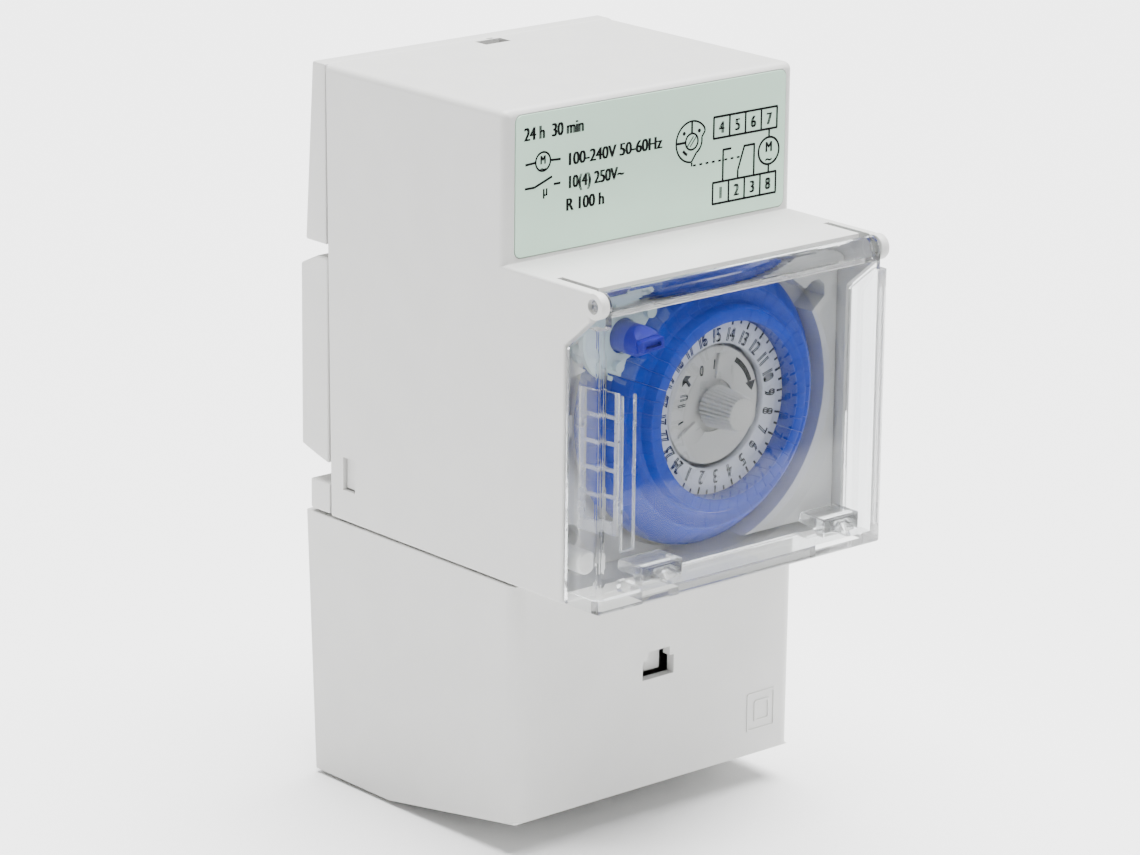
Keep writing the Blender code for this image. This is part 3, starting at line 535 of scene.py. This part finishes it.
def terminal_cover():
    """Lower cover with a stepped release slot, cable entries and a raised double square."""
    outline = [
        (-0.9, -23.05), (-47.75, -23.05), (-47.75, -57.9), (-19.5, -62.6), (-2.5, -62.6),
    ]
    body = prism(outline, "x", (-HALF_WIDTH, HALF_WIDTH))

    def weight(middle, direction):
        front = middle.y < -47
        if front and abs(direction.z) > 0.9:
            return 1.0
        if middle.z > -24:
            return 0.1
        return 0.15

    soften(body, 2.2, 6, weight)
    room = [(5, -15), (-46.35, -15), (-46.35, -56.7), (-19.4, -61.2), (5, -61.2)]
    cut(body, prism(room, "x", (-25.1, 25.1)))
    # Each side draws in by 0.2 mm from the top of the cover to its bottom.
    taper = 0.2 / HALF_WIDTH / (62.6 - 23.05)
    for vert in body.data.vertices:
        depth = -23.05 - vert.co.z / MM
        vert.co.x *= 1 - taper * max(0.0, depth)
    slot = block((-2.9, 3.0), (-50, -45), (-41.8, -39.0))
    slot_step = block((-1.9, 2.2), (-50, -45), (-39.3, -37.7))
    cut(body, slot, slot_step)
    for low, high in (((-20, -18), (-3.5, -7)), ((3.5, -18), (20, -7))):
        entry = prism(rounded(low, high, 1.2), "y", (57, 70))
        entry.data.transform(Matrix(((1, 0, 0, 0), (0, 0, 1, 0), (0, -1, 0, 0), (0, 0, 0, 1))))
        cut(body, entry)
    for low, high in (((17.4, -54.3), (22.9, -48.4)), ((18.8, -53.0), (21.8, -49.7))):
        frame_outer = prism(rounded(low, high, 0.3, 3), "y", (-47.9, -47.5))
        inset_low = (low[0] + 0.35, low[1] + 0.35)
        inset_high = (high[0] - 0.35, high[1] - 0.35)
        cut(frame_outer, prism(rounded(inset_low, inset_high, 0.15, 3), "y", (-49, -47)))
        fuse(body, frame_outer)
    dress(body, "lower_cover", HOUSING, "terminal_cover", ["terminal_cover"])


# --------------------------------------------------------------------------- clear cover

def ladder():
    """Upright strip with five windows behind the front panel, near the left wall."""
    strip = prism([(-58.1, -12.2), (-58.1, 7.65), (-63.65, 7.65), (-63.65, -12.2)], "x", (-0.2, 0.2))
    lowest, pitch, height = -10.42, 3.7, 3.25
    windows = []
    for cell in range(5):
        low = lowest + pitch * cell
        windows.append(block((-1, 1), (-59.0, -63.1), (low, low + height)))
    cut(strip, *windows)
    rear_x, rear_y = -23.5, -58.1
    lean = (23.5 - 22.6) / (63.9 - 58.1)
    for vert in strip.data.vertices:
        vert.co.x += rear_x * MM - lean * (vert.co.y - rear_y * MM)
    return strip


def clear_cover():
    """Hinged window: front panel, side walls, barrel, pins and hooks, plus its ladder rib."""
    outline = [
        (COVER_REAR_Y, COVER_BOTTOM_Z),
        (COVER_REAR_Y, 13.2),
        (-62.3, 17.0),
        (COVER_INNER_Y, 17.0),
        (COVER_INNER_Y, 20.0),
        (COVER_FRONT_Y + 0.05, 20.0),
        (COVER_FRONT_Y, COVER_BOTTOM_Z),
    ]
    body = prism(outline, "x", (-HALF_WIDTH, HALF_WIDTH))

    def weight(middle, direction):
        if middle.z > 17.5:
            return 0.0
        if middle.y < -64 and abs(direction.z) > 0.9:
            return 1.0
        return 0.5 if middle.z < 0 else 0.3

    soften(body, 0.8, 4, weight)
    room = block((-COVER_WALL_X, COVER_WALL_X), (COVER_INNER_Y, -50), (-21.0, 25.0))
    soften(room, 0.5, 4, lambda middle, way: float(middle.y < -60 and abs(way.z) > 0.9))
    corners = [
        soften(block((side * 24.7, side * 30), (-55, -70), (17.0, 30)), 0.4, 3) for side in (-1, 1)
    ]
    cut(body, room, *corners)
    barrel = soften(rod("x", HINGE, 1.75, (-24.7, 24.7), 40), 0.15, 2)
    pins = soften(rod("x", HINGE, 0.9, (-26.0, 26.0), 24), 0.12, 2)
    fuse(body, barrel, pins)
    for x0, x1 in ((-16.4, -9.0), (17.6, 24.4)):
        stem = soften(block((x0, x1), (-61.8, -60.2), (-22, -18.4)), 0.2, 2)
        hook_outline = [(-60.3, -20.6), (-56.6, -19.8), (-57.0, -18.4), (-61.8, -18.4), (-61.8, -20.6)]
        hook = soften(prism(hook_outline, "x", (x0, x1)), 0.15, 2)
        fuse(body, stem, hook)
        rib_x = (x0 + x1) / 2
        gusset_outline = [(-61.7, -21.2), (-63.7, -21.2), (-61.7, -19.0)]
        gusset = prism(gusset_outline, "x", (rib_x - 0.4, rib_x + 0.4))
        fuse(body, gusset)
    windows = [
        block((-25.0, -17.4), (-62.6, -55), (-24, -20)),
        block((25.0, 16.4), (-59.8, -55), (-24, -20)),
        block((-16.0, -9.4), (-59.8, -55), (-24, -20)),
    ]
    cut(body, *windows)
    # Flat facets: smoothed normals would bend what is seen through the panel.
    dress(body, "clear_door", CLEAR, "clear_cover", ["clear_cover"], angle=5)
    edges = [
        soften(block((x, x + 0.3), (-63.65, -63.2), (-14.6, 7.1)), 0.1, 2) for x in (-22.0, -19.75)
    ]
    foot = soften(block((-22.0, -19.45), (-63.65, -63.2), (-14.75, -14.45)), 0.1, 2)
    rail = join(ladder(), foot, *edges)
    dress(rail, "door_ladder", CLEAR_EDGE, "clear_cover")


# --------------------------------------------------------------------------- front plate

def bezel():
    """Tray round the dial: low plate, raised right side, step at the lever, round well."""
    body = block((-24.7, 24.7), (BEZEL_PLATE_Y, -48.4), (-21.0, 20.4))
    right = soften(block((3.0, 24.7), (BEZEL_RIGHT_Y, BEZEL_PLATE_Y + 0.5), (-20.2, 20.4)), 0.2, 2)
    step = [(-24.7, 6.6), (-18.6, 7.5), (-11.0, 9.0), (-11.0, 20.4), (-24.7, 20.4)]
    corner = soften(prism(step, "y", (BEZEL_LEVER_Y, BEZEL_PLATE_Y + 0.5)), 0.15, 2)
    fuse(body, right, corner)
    corner_pocket = [
        (13.72, 16.1), (15.42, 16.1), (16.97, 14.84), (18.55, 13.81), (19.72, 14.65),
        (21.09, 14.81), (22.16, 13.86), (22.22, 12.17), (20.38, 10.67), (15.52, 6.0), (7.52, 12.0),
    ]
    tools = [
        rod("y", DIAL, WELL_RADIUS, (-60, -49.4), 160),
        prism(corner_pocket, "y", (-60, -52.0)),
        rod("y", LEVER, 5.7, (-60, -50.5), 96),
        rod("y", DIAL, 4.8, (-60, -40), 48),
        rod("y", LEVER, 1.3, (-60, -40), 24),
        rod("y", RESET, 1.9, (-60, -40), 40),
        rod("y", (-19.0, -16.1), 1.7, (-60, -40), 40),
        block((-23.9, -19.0), (-60, -40), (-2.0, 2.0)),
        rod("y", (9.65, 14.29), 0.95, (-50, -40), 16),
    ]
    cut(body, *tools)
    dress(body, "bezel_tray", GREY_PAINTED_SHADE, "case", ["front_bezel"])


def reset_pin():
    """Round push pin with a bevelled end."""
    profile = [
        (0.02, -58.7), (1.4, -58.7), (1.65, -58.45), (1.65, -47.4), (0.02, -47.4),
    ]
    body = turned(profile, RESET, 48)
    dress(body, "press_pin", WHITE, "reset_pin", ["reset_pin"])


def override_lever():
    """Drum cut to a wedge, carrying a slotted rectangular head, on a thin shaft."""
    body = rod("y", LEVER, 2.2, (-61.9, -56.0), 96)
    x, z = LEVER
    for side in (-1, 1):
        wedge = [(-59.9, z + side * 2.4), (-62.2, z + side * 0.75), (-65, z + side * 3)]
        cut(body, prism(wedge, "x", (x - 4, x + 4)))
    soften(body, 0.12, 2, angle=25)
    head = soften(block((x - 1.9, x + 1.9), (-63.1, -61.0), (z - 0.8, z + 0.8)), 0.14, 3)
    fuse(body, head)
    cut(body, block((x - 1.35, x + 1.35), (-65, -62.4), (z - 0.33, z + 0.33)))
    fuse(body, rod("y", LEVER, 0.9, (-56.2, -43.6), 24))
    turn = Matrix.Rotation(math.radians(-LEVER_TILT), 4, "Y")
    pivot = Matrix.Translation(Vector((x, 0, z)) * MM)
    body.data.transform(pivot @ turn @ pivot.inverted())
    dress(body, "override_knob", LEVER_BLUE, "lever", ["override_lever"])


def selector_plate():
    """Lobed plate round the lever: raised arc and two pegs in front, part collar and legs behind."""
    x, z = LEVER
    outline = [
        (5.85, 2.7), (4.9, 3.95), (3.0, 4.4), (1.4, 5.5), (-1.4, 6.2), (-4.0, 5.2), (-5.8, 3.0),
        (-6.4, 0.0), (-5.7, -2.8), (-3.8, -4.4), (-2.4, -4.8), (-0.35, -5.66), (-0.1, -4.5),
        (0.4, -4.0), (0.6, -3.4), (2.0, -2.85), (2.1, -1.8), (3.9, 0.8), (4.4, 1.5),
    ]
    plate = soften(prism([(x + u, z + v) for u, v in outline], "y", (-57.0, -56.3)), 0.1, 2)
    ring = turned([(6.3, -57.2), (6.3, -56.4), (5.7, -56.4), (5.7, -57.2)], LEVER, 64, 100, 150)
    collar = turned([(5.4, -53.4), (5.4, -52.6), (4.4, -52.6), (4.4, -53.4)], LEVER, 48, 40, 190)
    pegs = [
        rod("y", (x + 4.3, z + 2.8), 0.85, (-57.9, -56.5), 32),
        rod("y", (x - 1.3, z - 4.0), 0.75, (-57.9, -56.5), 32),
    ]
    legs = [rod("y", polar(LEVER, 4.6, degrees), 0.7, (-56.5, -50.7), 20) for degrees in (115, 205)]
    fuse(plate, ring, collar, *pegs, *legs)
    cut(plate, rod("y", LEVER, 2.5, (-60, -50), 64), rod("y", DIAL, 18.9, (-60, -50), 160))
    dress(plate, "detent_plate", CYAN, "case", ["selector_plate"])


# --------------------------------------------------------------------------- dial

def figure(text, size, place, degrees, y, stretch=0.6, embolden=0.0, align="CENTER"):
    """Raised figure on a front-facing plane, its upright direction turned to `degrees`.

    Two copies, struck `embolden` to either side, thicken the strokes.
    """
    curve = bpy.data.curves.new("figure", "FONT")
    curve.body = text
    curve.size = size * MM
    curve.align_x = align
    curve.align_y = "BOTTOM_BASELINE"
    curve.extrude = INK / 2 * MM
    curve.resolution_u = 4
    holder = bpy.data.objects.new("figure", curve)
    bpy.context.scene.collection.objects.link(holder)
    bpy.context.view_layer.update()
    evaluated = holder.evaluated_get(bpy.context.evaluated_depsgraph_get())
    mesh = bpy.data.meshes.new_from_object(evaluated)
    bpy.data.objects.remove(holder, do_unlink=True)
    bm = bmesh.new()
    for shift in (-embolden, 2 * embolden):
        mesh.transform(Matrix.Translation((shift * MM, 0, 0)))
        bm.from_mesh(mesh)
    bm.to_mesh(mesh)
    bm.free()
    stand = Matrix.Rotation(math.pi / 2, 4, "X")
    narrow = Matrix.Diagonal((stretch, 1.0, 1.0, 1.0))
    turn = Matrix.Rotation(math.radians(90 - degrees), 4, "Y")
    move = Matrix.Translation(Vector((place[0], y, place[1])) * MM)
    mesh.transform(move @ turn @ stand @ narrow)
    item = bpy.data.objects.new("figure", mesh)
    bpy.context.scene.collection.objects.link(item)
    return item


def stroke(start, end, width, y):
    """Flat printed bar between two points of a front-facing plane."""
    a, b = Vector(start), Vector(end)
    side = Vector((a.y - b.y, b.x - a.x)).normalized() * width / 2
    outline = [tuple(a - side), tuple(b - side), tuple(b + side), tuple(a + side)]
    return prism(outline, "y", (y - INK / 2, y + INK / 2))


def loop(centre, radius, width, y, start=0.0, sweep=360.0, steps=48):
    """Flat printed circle or arc."""
    inner, outer = radius - width / 2, radius + width / 2
    front, back = y - INK / 2, y + INK / 2
    profile = [(outer, front), (outer, back), (inner, back), (inner, front)]
    return turned(profile, centre, steps, start, sweep)


def tappets():
    """Forty-eight half-hour tappets, four on each CAD block's body, 0.2 degrees apart."""
    profile = [
        (12.55, -59.2), (12.62, -59.42), (12.85, -59.5), (14.0, -59.55), (14.3, -59.45),
        (14.45, -59.2), (14.75, -57.7), (15.1, -57.25), (15.6, -57.1), (16.3, -57.2),
        (17.0, -57.4), (17.35, -57.3), (18.3, -56.3), (19.3, -55.1), (20.2, -54.0),
        (20.42, -53.5), (20.5, -53.0), (20.5, -51.8), (20.3, -51.5), (12.9, -51.4),
        (12.85, -56.8), (12.65, -57.4),
    ]
    gap = 0.2
    for index in range(TAPPETS):
        start = TAPPET_PITCH * index + gap / 2
        item = turned(profile, DIAL, 4, start, TAPPET_PITCH - gap)
        block_number = index // 4 + 1
        name = f"tappet_{index + 1:02d}"
        body = f"tappet_{block_number:02d}"
        dress(item, name + "_arm", BLUE, body, [f"tappet_block_{block_number:02d}"], angle=25)


def number_ring():
    """Hour ring with its hub, half-hour ticks and figures 1 to 24."""
    profile = [
        (12.5, FACE_Y + 0.02), (12.5, -50.9), (19.4, -50.9), (19.4, -49.8), (4.4, -49.8), (4.4, -48.2),
        (3.4, -48.2), (3.4, -50.9), (11.2, -50.9), (11.2, -55.6), (8.88, -55.6),
        (8.88, -56.45), (9.0, FACE_Y),
    ]
    body = turned(profile, DIAL, 144)
    dress(body, "hour_ring", NUMBER_WHITE, "dial", ["number_ring"])
    marks = []
    for half_hour in range(2 * 24):
        degrees = DIAL_TURN + 7.5 * half_hour
        inner = 11.45 if half_hour % 2 == 0 else 11.85
        marks.append(stroke(polar(DIAL, inner, degrees), polar(DIAL, 12.45, degrees), 0.32, FACE_Y))
    for hour in range(1, 25):
        degrees = DIAL_TURN + 15 * (hour - 9)
        marks.append(figure(str(hour), 2.85, polar(DIAL, 9.15, degrees), degrees, FACE_Y, 0.58, 0.22))
    dress(join(*marks), "hour_figures", INK_BLACK, "dial")


def centre_disc():
    """Fixed disc with a sunken sector and printed legend."""
    profile = [
        (0.02, DISC_Y), (7.9, DISC_Y), (8.25, DISC_Y + 0.12), (8.4, DISC_Y + 0.4),
        (8.4, DISC_Y + 1.1), (0.02, DISC_Y + 1.1),
    ]
    body = turned(profile, DIAL, 128)
    recess = DISC_Y + 0.5
    sector = arc(DIAL, 7.4, 82, 210, 30) + arc(DIAL, 3.3, 210, 82, 12)
    cut(body, prism(sector, "y", (-60, recess)), rod("y", DIAL, 3.75, (-60, recess), 64))
    cut(body, rod("y", DIAL, 1.9, (-60, -50), 32))
    dress(body, "legend_disc", DISC_GREY, "case", ["centre_disc"])
    x, z = DIAL
    marks = [
        figure("0", 2.2, polar(DIAL, 4.75, 113), 90, recess, 0.62, 0.14),
        figure("U", 2.1, polar(DIAL, 4.7, 157), 180, recess, 0.55, 0.17),
        figure("I", 2.1, polar(DIAL, 4.8, 171), 180, recess, 0.7, 0.17),
        stroke(polar(DIAL, 5.3, 196.5), polar(DIAL, 6.3, 196.8), 0.28, recess),
        stroke(polar(DIAL, 5.0, 85), polar(DIAL, 6.4, 85), 0.28, recess),
        stroke((x - 3.96, z + 3.33), (x - 4.7, z + 4.28), 0.5, recess),
        loop(DIAL, 7.1, 0.75, DISC_Y, 19, 37, 16),
    ]
    head = [polar(DIAL, 6.3, 20), polar(DIAL, 8.15, 17), polar(DIAL, 7.2, 7)]
    marks.append(prism(head, "y", (DISC_Y - INK / 2, DISC_Y + INK / 2)))
    tip = [(x - 5.3, z + 5.06), (x - 5.45, z + 3.45), (x - 3.75, z + 4.75)]
    marks.append(prism(tip, "y", (recess - INK / 2, recess + INK / 2)))
    dress(join(*marks), "legend_marks", INK_BLACK, "case")


def setting_knob():
    """Tapered knob with straight flutes and a plain end face."""
    flutes, samples = 30, 8
    levels = ((-62.0, 2.48, 0.8), (-61.9, 2.56, 1.0), (-58.0, 2.88, 1.0), (-56.5, 3.05, 1.0))
    bm = bmesh.new()
    rings = []
    for y, radius, share in levels:
        ring = []
        for i in range(flutes * samples):
            wave = abs(math.sin(math.pi * i / samples))
            local = radius - 0.3 * share * (1 - wave)
            x, z = polar(DIAL, local, 360.0 * i / (flutes * samples))
            ring.append(bm.verts.new((x * MM, y * MM, z * MM)))
        rings.append(ring)
    face_ring = [bm.verts.new((v.co.x, KNOB_FACE_Y * MM, v.co.z)) for v in rings[0]]
    shrink = 0.93
    for vert in face_ring:
        vert.co.x = DIAL[0] * MM + (vert.co.x - DIAL[0] * MM) * shrink
        vert.co.z = DIAL[1] * MM + (vert.co.z - DIAL[1] * MM) * shrink
    rings.insert(0, face_ring)
    for upper, lower in zip(rings, rings[1:]):
        count = len(upper)
        for i in range(count):
            j = (i + 1) % count
            bm.faces.new((upper[i], upper[j], lower[j], lower[i]))
    bm.faces.new(rings[0])
    bm.faces.new(rings[-1])
    bmesh.ops.recalc_face_normals(bm, faces=bm.faces)
    head = from_bmesh(bm)
    shaft = rod("y", DIAL, 1.6, (-56.6, -41.0), 32)
    dress(join(head, shaft), "time_knob", DISC_GREY, "knob", ["setting_knob"], angle=50)


# --------------------------------------------------------------------------- label

def label():
    """Label plate with generic ratings, terminal boxes and circuit symbols."""
    outline = rounded((LABEL_X[0], LABEL_Z[0]), (LABEL_X[1], LABEL_Z[1]), 1.0)
    plate = soften(prism(outline, "y", (LABEL_Y, LABEL_Y + 0.3)), 0.05, 2)
    dress(plate, "rating_label", LABEL_FILM, "case", ["label_plate"])
    y = LABEL_Y - 0.005
    thin, thick = 0.27, 0.32
    marks = [
        figure("24 h  30 min", 2.6, (-23.1, 38.5), 90, y, 0.8, 0.14, "LEFT"),
        figure("100-240V 50-60Hz", 2.5, (-15.5, 34.1), 90, y, 0.9, 0.12, "LEFT"),
        figure("10(4) 250V~", 2.5, (-15.4, 30.9), 90, y, 0.8, 0.14, "LEFT"),
        figure("R 100 h", 2.5, (-15.6, 27.8), 90, y, 0.88, 0.12, "LEFT"),
        figure("M", 1.7, (-19.72, 34.95), 90, y, 0.75, 0.09),
        figure("~", 2.0, (-19.72, 33.7), 90, y, 0.8, 0.07),
        loop((-19.72, 35.3), 1.3, thin, y),
        stroke((-22.85, 35.2), (-21.0, 35.3), thick, y),
        stroke((-18.45, 35.3), (-16.6, 35.2), thick, y),
        stroke((-22.9, 31.9), (-21.2, 31.9), thick, y),
        stroke((-21.2, 31.9), (-18.1, 33.0), thick, y),
        stroke((-17.8, 31.9), (-16.6, 31.9), thick, y),
        figure("µ", 2.2, (-19.3, 30.5), 90, y, 0.8, 0.07),
    ]
    marks += dial_pictogram((7.3, 34.2), y, thin)
    for i in range(8):
        start = 7.6 + 1.18 * i
        marks.append(stroke((start, 30.75), (start + 0.55, 30.75), thin, y))
    marks.append(stroke((7.35, 31.2), (7.35, 30.65), thin, y))
    for low, figures in ((34.0, "4567"), (24.65, "1238")):
        high = low + 3.05
        for z in (low, high):
            marks.append(stroke((11.3, z), (23.5, z), thick, y))
        for i in range(5):
            x = 11.4 + 3.0 * i
            marks.append(stroke((x, low), (x, high), thick, y))
        for i, character in enumerate(figures):
            marks.append(figure(character, 2.4, (12.9 + 3.0 * i, low + 0.65), 90, y, 0.76, 0.16))
    marks += [
        loop((21.95, 30.85), 1.95, thick, y),
        figure("M", 2.1, (21.95, 30.7), 90, y, 0.8, 0.1),
        figure("~", 2.5, (21.95, 28.9), 90, y, 0.85, 0.08),
        stroke((21.95, 32.8), (21.95, 34.0), thick, y),
        stroke((21.95, 27.7), (21.95, 28.9), thick, y),
        stroke((13.25, 27.75), (13.25, 32.2), thick, y),
        stroke((13.15, 32.2), (14.8, 32.2), thick, y),
        stroke((16.1, 27.75), (16.1, 28.9), thick, y),
        stroke((16.1, 28.9), (17.3, 32.3), thick, y),
        stroke((17.2, 32.2), (19.2, 32.2), thick, y),
        stroke((19.15, 27.75), (19.15, 32.3), thick, y),
    ]
    dress(join(*marks), "label_print", INK_BLACK, "case")


def dial_pictogram(centre, y, width):
    """Small round picture with a slotted hub, two strokes and two dots."""
    marks = [
        loop(centre, 2.9, width, y, 35, 235, 40),
        loop(centre, 1.15, width, y),
        stroke(polar(centre, 1.2, 90), polar(centre, 2.8, 90), 0.34, y),
        stroke(polar(centre, 1.2, 180), polar(centre, 2.8, 180), 0.34, y),
        stroke(polar(centre, 2.9, 35), polar(centre, 2.73, 26), width, y),
        stroke(polar(centre, 2.73, 26), polar(centre, 1.9, 12), width, y),
        loop(centre, 1.9, width, y, -62, 74, 16),
        stroke(polar(centre, 1.9, -62), polar(centre, 2.9, -90), width, y),
        loop(polar(centre, 1.95, 138), 0.14, 0.28, y, steps=16),
        loop(polar(centre, 1.95, 45), 0.14, 0.28, y, steps=16),
        loop(centre, 1.95, 0.4, y, 215, 30, 12),
    ]
    for shift in (-0.3, 0.3):
        low = (centre[0] - 0.6 + shift, centre[1] - 0.7)
        high = (centre[0] + 0.6 + shift, centre[1] + 0.7)
        marks.append(stroke(low, high, 0.16, y))
    return marks


# --------------------------------------------------------------------------- CAD nodes kept

def paint(node, material):
    """Shade a CAD node that is kept as it is."""
    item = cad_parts[node]
    item.data.materials.clear()
    item.data.materials.append(material)
    item.data.shade_smooth()
    item.data.set_sharp_from_angle(angle=math.radians(30))


def paint_inner_nodes():
    plan = {
        GREY_PAINTED_SHADE: ("movement_plate", "switch_follower"),
        WHITE: ("dial_gear", "knob_gear", "idler_gear"),
        HOUSING: ("terminal_block",),
        BLACK: ("switch_body", "capacitor"),
        STEEL: ("backup_battery", "stepper_motor", "gear_arbor", "dial_spindle", "latch_spring"),
        BRASS: ("motor_pinion", "moving_contact", "fixed_contact"),
        BOARD: ("circuit_board",),
    }
    for material, nodes in plan.items():
        for node in nodes:
            paint(node, material)
    for number in range(1, 9):
        paint(f"terminal_screw_{number}", STEEL)
        paint(f"terminal_clamp_{number}", BRASS)


# --------------------------------------------------------------------------- stage

def aim(holder, place, target):
    """Put a lamp at a place and point it at a target, both in metres."""
    holder.location = place
    holder.rotation_euler = (target - place).to_track_quat("-Z", "Y").to_euler()


def stage():
    """Pale floor sheet, even world light, a wide overhead light and a weak front softbox."""
    material, _, _, shader = shader_of("floor_paper")
    shader.inputs["Base Color"].default_value = (FLOOR_SHADE, FLOOR_SHADE, FLOOR_SHADE, 1.0)
    shader.inputs["Roughness"].default_value = 0.8
    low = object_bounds()[0][2] - FLOOR_DROP
    reach = FLOOR_REACH
    corners = [(-reach, FLOOR_FRONT_Y), (reach, FLOOR_FRONT_Y), (reach, reach), (-reach, reach)]
    bm = bmesh.new()
    bm.faces.new([bm.verts.new((x, y, low)) for x, y in corners])
    floor = from_bmesh(bm)
    floor.name = "floor"
    floor.data.materials.append(material)
    floor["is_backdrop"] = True

    world = bpy.data.worlds.new("studio")
    world.use_nodes = True
    background = world.node_tree.nodes["Background"]
    background.inputs["Color"].default_value = (1.0, 1.0, 1.0, 1.0)
    background.inputs["Strength"].default_value = WORLD_STRENGTH
    bpy.context.scene.world = world

    sky = bpy.data.lights.new("ceiling", "SUN")
    sky.energy = CEILING_STRENGTH
    sky.angle = math.radians(CEILING_SPREAD)
    ceiling = bpy.data.objects.new("ceiling", sky)
    ceiling.rotation_euler = (0, math.radians(CEILING_TILT), 0)
    bpy.context.scene.collection.objects.link(ceiling)

    lamp = bpy.data.lights.new("front_softbox", "AREA")
    lamp.size = SOFTBOX_SIZE
    lamp.energy = SOFTBOX_POWER
    softbox = bpy.data.objects.new("front_softbox", lamp)
    aim(softbox, Vector(SOFTBOX_PLACE), Vector((0, -0.03, 0)))
    bpy.context.scene.collection.objects.link(softbox)


def camera():
    """Camera at the front left, a little above the object."""
    azimuth, elevation, roll = (math.radians(angle) for angle in CAMERA_ANGLES)
    back = Vector((
        math.sin(azimuth) * math.cos(elevation),
        -math.cos(azimuth) * math.cos(elevation),
        math.sin(elevation),
    ))
    right = (-back).cross(Vector((0, 0, 1))).normalized()
    up = right.cross(-back)
    rolled_right = right * math.cos(roll) + up * math.sin(roll)
    rolled_up = up * math.cos(roll) - right * math.sin(roll)
    data = bpy.data.cameras.new("camera")
    data.sensor_width = 36.0
    data.lens = CAMERA_LENS
    data.clip_start = 0.01
    holder = bpy.data.objects.new("camera", data)
    bpy.context.scene.collection.objects.link(holder)
    turn = Matrix((rolled_right, rolled_up, back)).transposed().to_4x4()
    holder.matrix_world = Matrix.Translation(Vector(CAMERA_PLACE) * MM) @ turn
    bpy.context.scene.camera = holder


camera()
front_housing()
rear_base()
wall_adapter()
rail_latch()
terminal_cover()
clear_cover()
bezel()
reset_pin()
override_lever()
selector_plate()
tappets()
number_ring()
centre_disc()
setting_knob()
label()
paint_inner_nodes()
stage()
